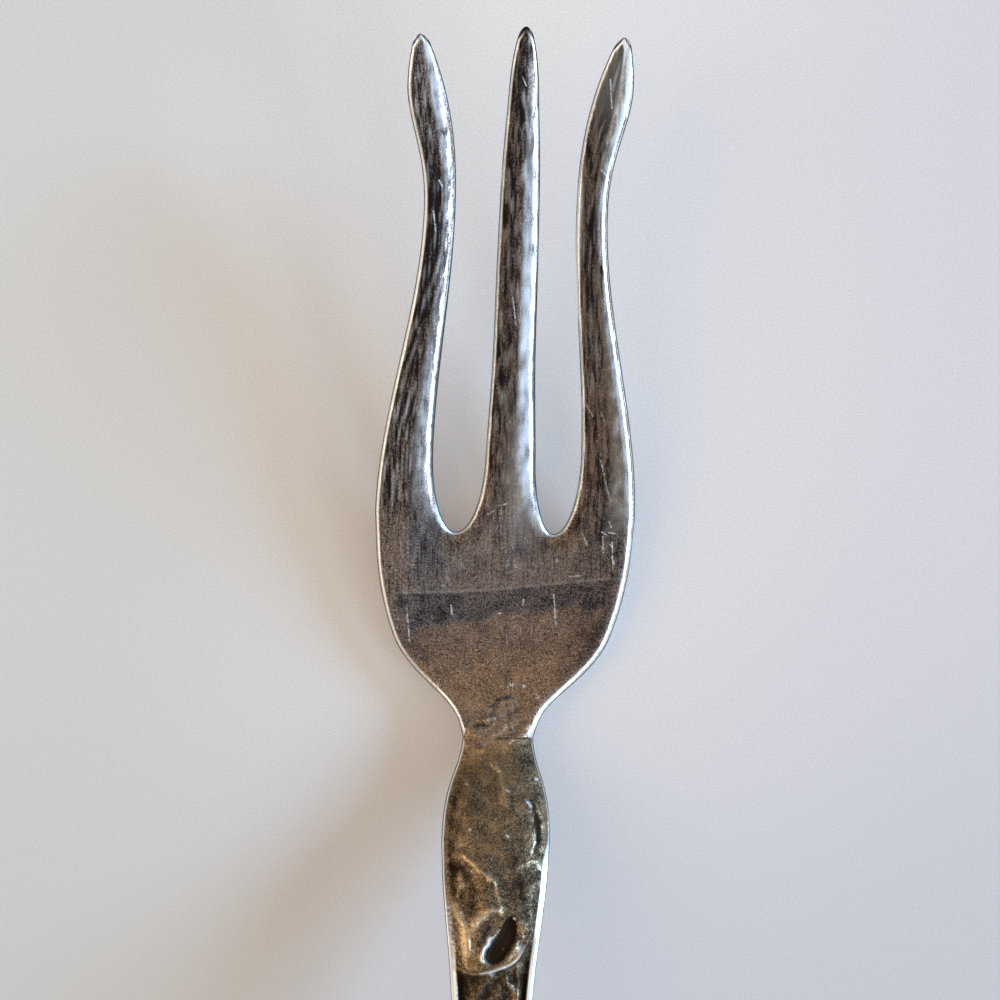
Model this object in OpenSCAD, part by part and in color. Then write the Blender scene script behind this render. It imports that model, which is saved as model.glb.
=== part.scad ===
// Three-tine serving fork: a forged head whose tang is cemented into a hollow handle of two stamped shells.
// Y runs along the fork with the tips at +Y, and X = 0, Y = 0 is the middle of its outline.
// Z = 0 is the surface that the fork lies on, front side up, on its heel and on the end of its handle.
// Places on the head are given forward of the neck seam, places on the handle behind it.

/* [Head] */
// Width over the outer tines at the widest place
head_w = 21.8; // [20:0.1:24]
// From the neck seam to the widest place
widest_l = 18.6; // [17:0.1:20]
// From the neck seam to the bottoms of the slots
root_l = 16.8; // [15:0.1:18]
// From the bottoms of the slots to the tip of the middle tine
tine_l = 42.8; // [38:0.1:50]
// Thickness of the root plate
plate_t = 1.9; // [1.6:0.05:2.4]
// Width of the rounding along the edges
edge_r = 1.4; // [0.8:0.1:1.8]
// How far the sides of the root plate rise above its middle
dish = 0.5; // [0:0.1:1]

/* [Slots and tines] */
// From the middle to the bottom of each slot
slot_x = 4.1; // [3.8:0.05:4.5]
// Length of the rounded part at the bottom of each slot
slot_round = 7; // [4:0.5:10]
// Width between the outer tines above the slot bottoms
inner_w = 12.4; // [11.6:0.1:13]
// Width between the outer tines at their waist
waist_gap_w = 10.1; // [9:0.1:11]
// Width over the outer tines at their waist
waist_w = 15.4; // [14:0.1:17]
// From the tips back to the waist
waist_back = 15.6; // [12:0.1:20]
// Width over the leaf-shaped ends of the outer tines
blade_w = 18.9; // [17.5:0.1:21]
// From the tips back to the widest place of the leaf-shaped ends
blade_back = 4.5; // [3:0.1:8]
// From the middle to the tip of each outer tine
tip_x = 8.55; // [7:0.05:9]
// Width of each tip
tip_w = 0.7; // [0.5:0.05:1.2]
// Thickness of each tip
tip_t = 0.85; // [0.5:0.05:1.2]
// Width of the middle tine where the slots reach their full width
mid_tine_w = 4.2; // [3:0.1:5]
// How much shorter the outer tines are than the middle one
outer_short = 0.6; // [0:0.1:2]
// How far the tips are bent to the right
tips_bend = 0.7; // [0:0.1:2]
// How far the middle tine stands to the right of the middle of the gap
mid_shift = 0.3; // [0:0.05:0.5]

/* [Side view] */
// Height of the middle of the tips
tips_h = 13.4; // [9:0.1:18]
// Height of the handle's parting plane at the top of the arch
arch_h = 11.6; // [8:0.1:15]
// From the seam back to the top of the arch
arch_back = 30; // [26:0.5:36]
// From the seam forward to the heel, the low place behind the slots
heel_l = 4.4; // [4:0.1:5.5]
// Depth of the flat worn on the heel
heel_wear = 0.12; // [0.05:0.01:0.2]

/* [Neck and tang] */
// Width of the neck at the seam
neck_w = 5.9; // [5.5:0.1:6.6]
// Upright thickness of the neck at the seam
neck_t = 3.4; // [3.2:0.1:4]
// Length of the tang inside the handle
tang_l = 42; // [30:1:60]
// Width of the tang at the seam
tang_w = 3.8; // [3:0.1:4]
// Thickness of the tang at the seam
tang_t = 1.6; // [1.2:0.1:1.7]
// Width of the tang at its end
tang_end_w = 2; // [1.5:0.1:2.6]
// Thickness of the tang at its end
tang_end_t = 1.2; // [0.8:0.1:1.4]

/* [Handle] */
// From the seam to the end of the handle
handle_l = 105.4; // [95:0.1:120]
// Width of the bulb behind the neck
bulb_w = 9.1; // [8:0.1:11]
// From the seam back to the widest place of the bulb
bulb_back = 8.6; // [7:0.1:11]
// Height of the bulb's front above the parting plane
bulb_front = 2.9; // [2.4:0.1:3.5]
// Depth of the bulb's back below the parting plane
bulb_rear = 2.4; // [2:0.1:3]
// Width of the stem, the narrowest place of the handle
stem_w = 5.6; // [5.2:0.1:7]
// From the seam back to the narrowest place
stem_back = 42; // [36:0.5:48]
// Height of the stem's front above the parting plane
stem_front = 1.9; // [1.7:0.1:2.4]
// Depth of the stem's back below the parting plane
stem_rear = 1.7; // [1.6:0.1:2.2]
// Width of the spread end of the handle
end_w = 15; // [12:0.1:18]
// Length of the rounding of the spread end
end_round = 13.4; // [10:0.1:16]
// Height of the spread end's front above the parting plane
end_front = 1.5; // [1.3:0.1:2]
// Depth of the spread end's back below the parting plane
end_rear = 1.9; // [1.7:0.1:2.4]
// Height of the parting plane at the end of the handle
end_h = 1.3; // [1:0.1:1.5]
// Wall of the two shells
wall = 0.45; // [0.3:0.05:0.5]
// Clearance of the filling in the shells and round the tang
fit = 0.05; // [0.04:0.01:0.08]

/* [Rims on the front of the handle] */
// Width of each raised rim
rim_w = 0.6; // [0.4:0.05:0.8]
// Width of the channel inside each rim
channel_w = 0.3; // [0.2:0.05:0.4]
// Depth of that channel
channel_d = 0.15; // [0.05:0.01:0.2]
// Where the rims begin, behind the seam
rim_back = 19; // [17:0.5:24]

/* [Solder at the neck] */
// Length and width of the lump
solder_size = 3.8; // [3:0.1:4.4]
// Height of the lump
solder_h = 0.45; // [0.2:0.05:0.7]
// How far the middle of the lump lies left of the middle of the neck
solder_left = 0.3; // [0:0.05:0.6]
// How far the middle of the lump lies forward of the seam
solder_fwd = 1.5; // [1:0.1:2.2]

/* [Hidden] */

silver_colour = [0.56, 0.52, 0.48];
filling_colour = [0.34, 0.25, 0.18];
solder_colour = [0.66, 0.65, 0.62];

// Places forward of the neck seam
tip_s = root_l + tine_l;
outer_tip_s = tip_s - outer_short;
waist_s = tip_s - waist_back;
blade_s = outer_tip_s - blade_back;
slot_full_s = root_l + slot_round;
// Place of the seam along Y
seam_y = (handle_l - tip_s) / 2;
// Height of the middle of the metal at the heel, and how much higher it is at the seam
heel_h = plate_t / 2 - heel_wear;
neck_rise = 1.7;
// Behind the seam, where the rounding of the spread end begins
end_start = handle_l - end_round;
// How much higher the parting plane is there than at the end
end_rise = 0.7;
// Width and front height of the blunt tip of the handle
end_tip_w = 2;
end_tip_h = 0.8;
// Rounding of the rims' outer corners, and the length over which the rims rise out of the plain front
rim_soft = 0.12;
rim_fade = 5;
// Thickness of the solder at its edge
solder_edge = 0.08;
// How late the outer tines widen to their leaf shape, how late they lean out to their tips,
// and how late the head bends to the right: 1 is at an even rate
blade_swell = 1.25;
tip_lean = 2.4;
bend_growth = 1.3;

// Steps across one tine and across the whole head, and rows along the plate, each tine and the tang
tine_steps = 6;
head_steps = 3 * tine_steps;
plate_rows = 16;
tine_rows = 16;
tang_rows = 14;
// Close rows just behind the slots: the length that they take, and their places as shares of it
slot_lip = 1.2;
lip_shares = [0.6, 0.3, 0.1, 0];
// Turns of the rows round the bottoms of the slots and round the end of the handle
slot_turns = [10 : 16 : 90];
end_turns = [10 : 12 : 70];
// How much closer the rows of a tine lie towards its tip
tine_crowd = 1.3;
// Length of the bulb and the rows along it, and the rows along the stem
bulb_zone = 24;
bulb_rows = 16;
stem_rows = 14;
// Steps across the front, back and filling of the handle and round the solder
arch_steps = 18;
rear_steps = 12;
filling_steps = 12;
solder_steps = 14;
// Places across half of the front between its rims, as shares of its half width
dome_shares = [1, 0.75, 0.5, 0.25];
// Rings of the solder as shares of its radius: outwards underneath, then inwards over the top
solder_under = [0.1, 0.4, 0.7, 1];
solder_over = [1, 0.85, 0.6, 0.35, 0.1];

// How the handle widens from neck to bulb and narrows from bulb to stem:
// [share of the length, share of the change]
bulb_swell_line = [[0, 0], [0.2, 0.25], [0.45, 0.64], [0.7, 0.9], [1, 1]];
bulb_fall_line = [[0, 0], [0.1, 0.1], [0.2, 0.29], [0.3, 0.5], [0.42, 0.68], [0.65, 0.89], [1, 1]];
// How the head widens from neck to widest place, in the same shares
head_flare_line = [
    [0, 0], [0.1, 0.08], [0.17, 0.21], [0.23, 0.36], [0.31, 0.55],
    [0.4, 0.71], [0.5, 0.81], [0.72, 0.94], [1, 1]
];
// How the middle tine narrows to its tip, in the same shares
mid_taper_line = [
    [0, 0], [0.2, 0.16], [0.45, 0.21], [0.68, 0.3], [0.8, 0.43], [0.9, 0.56], [0.96, 0.76], [1, 1]
];

// Side view of the middle of the metal: [place forward of the seam, height], where the heights between the
// low places are shares of the height of the arch or of the tips
spine_line = [
    [-handle_l, end_h],
    [-end_start, end_h + end_rise],
    [-(handle_l + arch_back) / 2, arch_h * 0.7],
    [-arch_back, arch_h],
    [-arch_back / 2, arch_h * 0.85],
    [-arch_back / 4, arch_h * 0.56],
    [0, heel_h + neck_rise],
    [heel_l, heel_h],
    [root_l - 4, heel_h + tips_h * 0.04],
    [root_l + 3, heel_h + tips_h * 0.13],
    [(root_l + tip_s) / 2, tips_h * 0.55],
    [tip_s, tips_h]
];
// Upright thickness of the head: [place forward of the seam, thickness]
thickness_line = [
    [0, neck_t],
    [heel_l / 2, plate_t + 0.8],
    [heel_l, plate_t + 0.3],
    [heel_l * 2, plate_t],
    [waist_s, plate_t - 0.1],
    [blade_s, (plate_t + tip_t) / 2],
    [tip_s, tip_t]
];
// Lift of the head's sides: [place forward of the seam, lift]
dish_line = [[0, 0], [root_l, dish], [waist_s, 0], [tip_s, 0]];

// Smooth lines

function blend(a, b, share) = a + (b - a) * share;
function clamp(t) = min(max(t, 0), 1);
function ease(t) = let (c = clamp(t)) c * c * (3 - 2 * c);
function quarter(t) = sqrt(1 - pow(1 - clamp(t), 2));

// Smooth curve through pairs of place and value, in rising order of place
function chord(line, i) = (line[i + 1][1] - line[i][1]) / (line[i + 1][0] - line[i][0]);
function slope(line, i) =
    i == 0 ? chord(line, 0) :
    i == len(line) - 1 ? chord(line, i - 1) :
    (chord(line, i - 1) + chord(line, i)) / 2;
function span_at(line, place, i = 0) =
    i >= len(line) - 2 || place <= line[i + 1][0] ? i : span_at(line, place, i + 1);
function curve(line, place) =
    let (
        i = span_at(line, place),
        width = line[i + 1][0] - line[i][0],
        t = clamp((place - line[i][0]) / width)
    )
    blend(line[i][1], line[i + 1][1], ease(t))
    + width * t * (1 - t) * (slope(line, i) * (1 - t) - slope(line, i + 1) * t);

// Middle height of the metal, s forward of the seam
function spine(s) = curve(spine_line, s);

// Outline of the head, s forward of the seam

function outer_edge(s) =
    s <= 0 ? neck_w / 2 :
    s < widest_l ? blend(neck_w, head_w, curve(head_flare_line, s / widest_l)) / 2 :
    s < waist_s ? blend(head_w, waist_w, ease((s - widest_l) / (waist_s - widest_l))) / 2 :
    s < blade_s ? blend(waist_w, blade_w, ease(pow((s - waist_s) / (blade_s - waist_s), blade_swell))) / 2 :
    blend(blade_w / 2, tip_x + tip_w / 2, pow((s - blade_s) / blade_back, 2));

function slot_opening(s) = quarter((s - root_l) / slot_round);

function inner_edge(s) =
    s < slot_full_s ? blend(slot_x, inner_w / 2, slot_opening(s)) :
    s < waist_s ? blend(inner_w, waist_gap_w, ease((s - slot_full_s) / (waist_s - slot_full_s))) / 2 :
    blend(waist_gap_w / 2, tip_x - tip_w / 2, pow((s - waist_s) / (outer_tip_s - waist_s), tip_lean));

function mid_edge(s) =
    s < slot_full_s ? blend(slot_x, mid_tine_w / 2, slot_opening(s)) :
    blend(mid_tine_w, tip_w, curve(mid_taper_line, (s - slot_full_s) / (tip_s - slot_full_s))) / 2;

// The head bends a little to the right towards its tips
function bend(s) = tips_bend * pow(max(s, 0) / tip_s, bend_growth);

// Left and right edges of the left, middle and right tine (k = 0, 1, 2)
function tine_edges(k, s) =
    let (mid = bend(s) + mid_shift * slot_opening(s))
    k == 0 ? [bend(s) - outer_edge(s), bend(s) - inner_edge(s)] :
    k == 1 ? [mid - mid_edge(s), mid + mid_edge(s)] :
    [bend(s) + inner_edge(s), bend(s) + outer_edge(s)];

// Sections of the head

function lift(x, s) = curve(dish_line, s) * pow((x - bend(s)) / outer_edge(s), 2);
function half_thickness(s, inside, r) = curve(thickness_line, s) / 2 * quarter(inside / r);

// Ring of points over the top of a section from left to right and back underneath
function ring(xs, halves, s) =
    concat(
        [for (i = [0 : len(xs) - 1]) head_point(xs[i], s, halves[i])],
        [for (i = [len(xs) - 2 : -1 : 1]) head_point(xs[i], s, -halves[i])]
    );
function head_point(x, s, rise) = [x, seam_y + s, max(0, spine(s) + lift(x, s) + rise)];

// Columns across the plate: spread as round the neck at the seam, and as over the three tines at the slots
function neck_column(j) = -cos(180 * j / head_steps);
function tine_column(edges, i) =
    (edges[0] + edges[1]) / 2 - (edges[1] - edges[0]) / 2 * cos(180 * i / tine_steps);
function slot_column(j) =
    let (k = min(floor(j / tine_steps), 2))
    (tine_column(tine_edges(k, root_l), j - k * tine_steps) - bend(root_l)) / outer_edge(root_l);
function plate_ring(s) =
    let (
        spread = ease(s / root_l),
        r = blend(neck_w / 2, edge_r, ease(s / heel_l)),
        columns = [for (j = [0 : head_steps]) blend(neck_column(j), slot_column(j), spread)],
        xs = [for (c = columns) bend(s) + outer_edge(s) * c],
        halves = [
            for (j = [0 : head_steps])
                let (
                    to_side = outer_edge(s) * (1 - abs(columns[j])),
                    to_slots = norm([abs(xs[j] - bend(root_l)) - slot_x, s - root_l])
                )
                half_thickness(s, min(to_side, to_slots), r)
        ]
    )
    ring(xs, halves, s);

function tine_ring(k, s) =
    let (
        edges = tine_edges(k, s),
        half_w = (edges[1] - edges[0]) / 2,
        xs = [for (i = [0 : tine_steps]) tine_column(edges, i)],
        halves = [for (x = xs) half_thickness(s, min(x - edges[0], edges[1] - x), min(edge_r, half_w))]
    )
    ring(xs, halves, s);

function tang_ring(s) =
    let (
        share = -s / tang_l,
        half_w = blend(tang_w, tang_end_w, share) / 2,
        half_t = blend(tang_t, tang_end_t, share) / 2,
        xs = [for (j = [0 : head_steps]) half_w * neck_column(j)],
        halves = [for (x = xs) half_t * sqrt(max(0, 1 - pow(x / half_w, 2)))]
    )
    ring(xs, halves, s);

tang_places = [for (i = [0 : tang_rows]) -tang_l * (1 - i / tang_rows)];
plate_places = concat(
    [for (i = [0 : plate_rows]) (root_l - slot_lip) * i / plate_rows],
    [for (share = lip_shares) root_l - slot_lip * share]
);
function tine_places(k) =
    let (end_s = k == 1 ? tip_s : outer_tip_s)
    concat(
        [for (a = slot_turns) root_l + slot_round * (1 - cos(a))],
        [for (i = [1 : tine_rows]) blend(slot_full_s, end_s, 1 - pow(1 - i / tine_rows, tine_crowd))]
    );

// Faces between rows of points

// Triangles between two rows of equally many points
function ladder(a, b) =
    [for (i = [0 : len(a) - 2]) each [[a[i], b[i + 1], a[i + 1]], [a[i], b[i], b[i + 1]]]];
function loop(ids) = concat(ids, [ids[0]]);
function run(start, n) = [for (i = [0 : n - 1]) start + i];
function turned(list) = [for (i = [len(list) - 1 : -1 : 0]) list[i]];

// Solid between the first and last of a list of rings that have equally many points
module skin(rings) {
    n = len(rings[0]);
    last = len(rings) - 1;
    polyhedron(
        [for (r = rings) each r],
        concat(
            [run(0, n)],
            [for (i = [0 : last - 1]) each ladder(loop(run(i * n, n)), loop(run(i * n + n, n)))],
            [turned(run(last * n, n))]
        )
    );
}

// Half shell from its mouth to its closed end: the outside has one row of points more than the hollow
module shell(outside, hollow) {
    n = len(outside[0]);
    rows = len(hollow);
    inner = n * (rows + 1);
    function out_row(i) = run(i * n, n);
    function in_row(i) = run(inner + i * n, n);
    function out_side(c) = [for (i = [0 : rows - 1]) i * n + c];
    function in_side(c) = [for (i = [0 : rows - 1]) inner + i * n + c];
    before_end = (rows - 1) * n;
    sole = [
        rows * n, rows * n + n - 1, before_end + n - 1,
        inner + before_end + n - 1, inner + before_end, before_end
    ];
    polyhedron(
        concat([for (row = outside) each row], [for (row = hollow) each row]),
        concat(
            [for (i = [0 : rows - 1]) each ladder(out_row(i + 1), out_row(i))],
            ladder(out_row(0), in_row(0)),
            [for (i = [0 : rows - 2]) each ladder(in_row(i), in_row(i + 1))],
            ladder(in_side(0), out_side(0)),
            ladder(out_side(n - 1), in_side(n - 1)),
            [turned(in_row(rows - 1)), out_row(rows), sole]
        )
    );
}

// Sections of the handle, b behind the seam

function handle_size(sizes, b) =
    b < bulb_back ? blend(sizes[0], sizes[1], curve(bulb_swell_line, b / bulb_back)) :
    b < stem_back ?
        blend(sizes[1], sizes[2], curve(bulb_fall_line, (b - bulb_back) / (stem_back - bulb_back))) :
    b < end_start ? blend(sizes[2], sizes[3], ease((b - stem_back) / (end_start - stem_back))) :
    blend(sizes[4], sizes[3], sqrt(max(0, 1 - pow((b - end_start) / end_round, 2))));
function half_w(b) = handle_size([neck_w, bulb_w, stem_w, end_w, end_tip_w], b) / 2;
function front_h(b) = handle_size([neck_t / 2, bulb_front, stem_front, end_front, end_tip_h], b);
function rear_h(b) = handle_size([neck_t / 2, bulb_rear, stem_rear, end_rear, end_rear], b);

// Half ellipse over the front from left to right, or under the back from right to left
function front_arc(w, h, steps) =
    [for (i = [0 : steps]) [-w * cos(180 * i / steps), h * sin(180 * i / steps)]];
function rear_arc(w, h, steps) = [for (p = front_arc(w, h, steps)) -p];

// The front's half ellipse with a rim and a channel along each side, and the plain one with as many points
function rimmed_arc(w, h) =
    let (
        dome_w = w - rim_w - channel_w,
        rim_h = h * sqrt(1 - pow(dome_w / w, 2)),
        side = [
            [-w, 0],
            [-w, rim_h - rim_soft],
            [rim_soft - w, rim_h],
            [rim_w - w, rim_h],
            [-dome_w - channel_w / 2, rim_h - channel_d],
            for (share = dome_shares)
                [-dome_w * share, h * sqrt(1 - pow(dome_w * share / w, 2))]
        ]
    )
    concat(side, [[0, h]], [for (p = turned(side)) [-p[0], p[1]]]);
function front_section(b) =
    let (
        plain = front_arc(half_w(b), front_h(b), arch_steps),
        rimmed = rimmed_arc(half_w(b), front_h(b)),
        share = ease((b - rim_back) / rim_fade)
    )
    [for (i = [0 : arch_steps]) blend(plain[i], rimmed[i], share)];

// Row of points for a section b behind the seam, nowhere lower than a given height
function row(section, b, lowest = 0) =
    [for (p = section) [p[0], seam_y - b, max(lowest, spine(-b) + p[1])]];

hollow_places = concat(
    [for (i = [0 : bulb_rows]) bulb_zone * i / bulb_rows],
    [for (i = [1 : stem_rows]) blend(bulb_zone, end_start, i / stem_rows)],
    [for (a = end_turns) end_start + end_round * sin(a)],
    [handle_l - wall]
);
shell_places = concat(hollow_places, [handle_l]);

module tine_head() {
    rings = concat([for (s = tang_places) tang_ring(s)], [for (s = plate_places) plate_ring(s)]);
    n = 2 * head_steps;
    slot_row = n * (len(rings) - 1);
    tine_n = 2 * tine_steps;
    tine_count = len(tine_places(0));
    // At the slot bottoms, where two tines meet, the last ring's upper and lower points are one
    function shared(i) = i == n - tine_steps ? tine_steps : i == n - 2 * tine_steps ? 2 * tine_steps : i;
    function ring_ids(i) = [for (j = [0 : n - 1]) i * n + (i == len(rings) - 1 ? shared(j) : j)];
    function slot_ids(k) =
        concat(
            run(slot_row + k * tine_steps, tine_steps + 1),
            run(slot_row + n - (k + 1) * tine_steps + 1, tine_steps - 1)
        );
    function tine_ids(k, i) = run(slot_row + n + (k * tine_count + i) * tine_n, tine_n);
    color(silver_colour)
        polyhedron(
            concat(
                [for (r = rings) each r],
                [for (k = [0 : 2]) for (s = tine_places(k)) each tine_ring(k, s)]
            ),
            concat(
                [run(0, n)],
                [for (i = [0 : len(rings) - 2]) each ladder(loop(ring_ids(i)), loop(ring_ids(i + 1)))],
                [for (k = [0 : 2]) each ladder(loop(slot_ids(k)), loop(tine_ids(k, 0)))],
                [
                    for (k = [0 : 2])
                        for (i = [0 : tine_count - 2])
                            each ladder(loop(tine_ids(k, i)), loop(tine_ids(k, i + 1)))
                ],
                [for (k = [0 : 2]) turned(tine_ids(k, tine_count - 1))]
            )
        );
}

module handle_front_shell() {
    color(silver_colour)
        shell(
            [for (b = shell_places) row(front_section(b), b)],
            [for (b = hollow_places) row(front_arc(half_w(b) - wall, front_h(b) - wall, arch_steps), b)]
        );
}

module handle_back_shell() {
    color(silver_colour)
        shell(
            [for (b = shell_places) row(rear_arc(half_w(b), rear_h(b), rear_steps), b)],
            [for (b = hollow_places) row(rear_arc(half_w(b) - wall, rear_h(b) - wall, rear_steps), b, wall)]
        );
}

// Loop round the front and back arcs, from the left over the front
function whole_loop(w, front, rear) =
    concat(
        front_arc(w, front, filling_steps),
        [for (i = [1 : filling_steps - 1]) rear_arc(w, rear, filling_steps)[i]]
    );

module handle_filling() {
    gap = wall + fit;
    outside = [
        for (i = [len(hollow_places) - 3 : -1 : 0])
            let (b = hollow_places[i])
            row(whole_loop(half_w(b) - gap, front_h(b) - gap, rear_h(b) - gap), b, gap)
    ];
    socket = [
        for (i = [tang_rows : -1 : 0])
            let (
                b = -tang_places[i],
                socket_w = blend(tang_w, tang_end_w, b / tang_l) / 2 + fit,
                socket_h = blend(tang_t, tang_end_t, b / tang_l) / 2 + fit
            )
            row(whole_loop(socket_w, socket_h, socket_h), i == 0 ? b + fit : b)
    ];
    color(filling_colour) skin(concat(outside, socket));
}

// Height of the front of the neck beside the seam
function neck_top(x, s) =
    s < 0 ? spine(s) + front_h(-s) * sqrt(1 - pow(x / half_w(-s), 2)) :
    spine(s) + lift(x, s)
    + half_thickness(s, outer_edge(s) - abs(x - bend(s)), blend(neck_w / 2, edge_r, ease(s / heel_l)));

module neck_solder() {
    function lens_ring(share, height) = [
        for (i = [0 : solder_steps - 1])
            let (
                a = 360 * i / solder_steps,
                x = -solder_left + solder_size / 2 * share * cos(a),
                s = solder_fwd + solder_size / 2 * share * sin(a)
            )
            [x, seam_y + s, neck_top(x, s) + height]
    ];
    color(solder_colour)
        skin(concat(
            [for (share = solder_under) lens_ring(share, fit)],
            [
                for (share = solder_over)
                    lens_ring(share, fit + solder_edge + solder_h * (1 - share * share))
            ]
        ));
}

tine_head();
handle_front_shell();
handle_back_shell();
handle_filling();
neck_solder();
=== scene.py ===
"""Three-tine serving fork in old, worn silver plate: forged head, hollow two-shell handle, solder at the neck.

All sizes are millimetres in the shape functions and metres in Blender. Y runs along the fork with the tips at
+Y, Z is up, and the neck seam lies at seam_y. Places are given as s, forward of the seam, and b, behind it.
"""
import math

import bpy
import numpy as np
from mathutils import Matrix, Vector

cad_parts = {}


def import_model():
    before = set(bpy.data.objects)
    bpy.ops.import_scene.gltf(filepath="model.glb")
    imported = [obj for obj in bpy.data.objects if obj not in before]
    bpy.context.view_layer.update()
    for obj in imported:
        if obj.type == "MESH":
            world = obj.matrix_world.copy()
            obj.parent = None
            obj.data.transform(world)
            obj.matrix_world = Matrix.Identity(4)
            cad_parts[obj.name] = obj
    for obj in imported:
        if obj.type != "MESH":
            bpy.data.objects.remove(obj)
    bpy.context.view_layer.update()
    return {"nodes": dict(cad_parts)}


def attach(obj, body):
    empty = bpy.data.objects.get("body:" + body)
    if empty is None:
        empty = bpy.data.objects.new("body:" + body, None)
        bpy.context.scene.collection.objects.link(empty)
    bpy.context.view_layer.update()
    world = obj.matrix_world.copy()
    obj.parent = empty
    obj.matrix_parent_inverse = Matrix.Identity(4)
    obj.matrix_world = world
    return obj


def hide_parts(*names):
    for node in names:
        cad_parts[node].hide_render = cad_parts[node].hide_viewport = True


MM = 0.001

# Head
HEAD_W = 21.8
WIDEST_L = 18.6
ROOT_L = 16.8
TIP_S = 59.6
OUTER_TIP_S = 59.0
WAIST_S = 44.0
BLADE_S = 54.5
SLOT_X = 4.1
SLOT_L = ROOT_L + 0.35
SLOT_FULL_S = ROOT_L + 7.0
SLOT_ROUND = SLOT_FULL_S - SLOT_L
INNER_W = 12.4
WAIST_GAP_W = 10.1
WAIST_W = 15.4
BLADE_W = 18.9
TIP_X = 8.55
TIP_W = 0.7
TINE_ENDS = (OUTER_TIP_S - 0.35, TIP_S - 0.15, OUTER_TIP_S - 0.3)
TIP_ROUND = 0.65
MID_TINE_W = 4.2
TIPS_BEND = 0.7
MID_SHIFT = 0.3
PLATE_T = 1.9
TIP_T = 0.85
EDGE_R = 1.4
DISH = 0.5
RISE = 0.65
LEFT_R = 0.4
RIGHT_R = 1.15
RIGHT_ROUNDS = (1.4, 1.9, 1.0)
TINE_TILT = 0.1
SEAM_ROUND = 1.6
TIPS_H = 13.4
HEEL_L = 4.4
HEEL_H = 0.83
NECK_W = 5.9
NECK_T = 3.4
TANG_L = 42.0
TANG_W = 3.8
TANG_T = 1.6
TANG_END_W = 2.0
TANG_END_T = 1.2

# Handle
HANDLE_L = 105.4
SEAM_Y = (HANDLE_L - TIP_S) / 2
BULB_BACK = 8.6
STEM_BACK = 42.0
END_ROUND = 13.4
END_START = HANDLE_L - END_ROUND
ARCH_H = 11.6
ARCH_BACK = 30.0
END_H = 1.3
WALL = 0.45
WIDTHS = (NECK_W, 9.1, 5.6, 15.0, 2.0)
FRONTS = (NECK_T / 2, 2.9, 1.9, 1.5, 0.8)
REARS = (NECK_T / 2, 2.4, 1.7, 1.9, 1.9)

SPINE = [
    (-HANDLE_L, END_H), (-END_START, END_H + 0.7), (-(HANDLE_L + ARCH_BACK) / 2, ARCH_H * 0.7),
    (-ARCH_BACK, ARCH_H), (-ARCH_BACK / 2, ARCH_H * 0.85), (-ARCH_BACK / 4, ARCH_H * 0.56),
    (0, HEEL_H + 1.7), (HEEL_L, HEEL_H), (ROOT_L - 4, HEEL_H + TIPS_H * 0.04),
    (ROOT_L + 3, HEEL_H + TIPS_H * 0.13), ((ROOT_L + TIP_S) / 2, TIPS_H * 0.55), (TIP_S, TIPS_H),
]
THICKNESS = [
    (0, NECK_T), (HEEL_L / 2, PLATE_T + 0.8), (HEEL_L, PLATE_T + 0.3), (HEEL_L * 2, PLATE_T),
    (WAIST_S, PLATE_T - 0.1), (BLADE_S, (PLATE_T + TIP_T) / 2), (TIP_S, TIP_T),
]
DISH_LINE = [(0, 0), (ROOT_L, DISH), (WAIST_S, 0), (TIP_S, 0)]
HEAD_FLARE = [
    (0, 0), (0.1, 0.08), (0.17, 0.21), (0.23, 0.36), (0.31, 0.55), (0.4, 0.71), (0.5, 0.81), (0.72, 0.94), (1, 1)
]
MID_TAPER = [(0, 0), (0.2, 0.16), (0.45, 0.21), (0.68, 0.3), (0.8, 0.43), (0.9, 0.56), (0.96, 0.76), (1, 1)]
BULB_SWELL = [(0, 0), (0.1, 0.06), (0.24, 0.24), (0.45, 0.62), (0.7, 0.9), (1, 1)]
BULB_FALL = [(0, 0), (0.1, 0.1), (0.2, 0.29), (0.3, 0.5), (0.42, 0.68), (0.65, 0.89), (1, 1)]


# Smooth lines

def blend(a, b, share):
    return a + (b - a) * share


def ease(t):
    t = np.clip(t, 0, 1)
    return t * t * (3 - 2 * t)


def quarter(t):
    return np.sqrt(1 - (1 - np.clip(t, 0, 1)) ** 2)


def curve(line, place):
    """Smooth curve through pairs of place and value."""
    xs, ys = np.array(line, float).T
    chords = np.diff(ys) / np.diff(xs)
    slopes = np.concatenate([chords[:1], (chords[:-1] + chords[1:]) / 2, chords[-1:]])
    i = np.clip(np.searchsorted(xs, place) - 1, 0, len(xs) - 2)
    width = xs[i + 1] - xs[i]
    t = np.clip((place - xs[i]) / width, 0, 1)
    sag = width * t * (1 - t) * (slopes[i] * (1 - t) - slopes[i + 1] * t)
    return blend(ys[i], ys[i + 1], ease(t)) + sag


def spine(s):
    return curve(SPINE, s)


# Outline of the head

def outer_edge(s):
    waist_share = ease((s - WIDEST_L) / (WAIST_S - WIDEST_L))
    blade_share = ease(np.clip((s - WAIST_S) / (BLADE_S - WAIST_S), 0, 1) ** 1.25)
    tip_share = np.clip((s - BLADE_S) / (OUTER_TIP_S - BLADE_S), 0, 2) ** 2
    return np.select(
        [s <= 0, s < WIDEST_L, s < WAIST_S, s < BLADE_S],
        [
            NECK_W / 2,
            blend(NECK_W, HEAD_W, curve(HEAD_FLARE, s / WIDEST_L)) / 2,
            blend(HEAD_W, WAIST_W, waist_share) / 2,
            blend(WAIST_W, BLADE_W, blade_share) / 2,
        ],
        blend(BLADE_W / 2, TIP_X + TIP_W / 2, tip_share),
    )


def slot_opening(s):
    return quarter((s - SLOT_L) / SLOT_ROUND)


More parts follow.
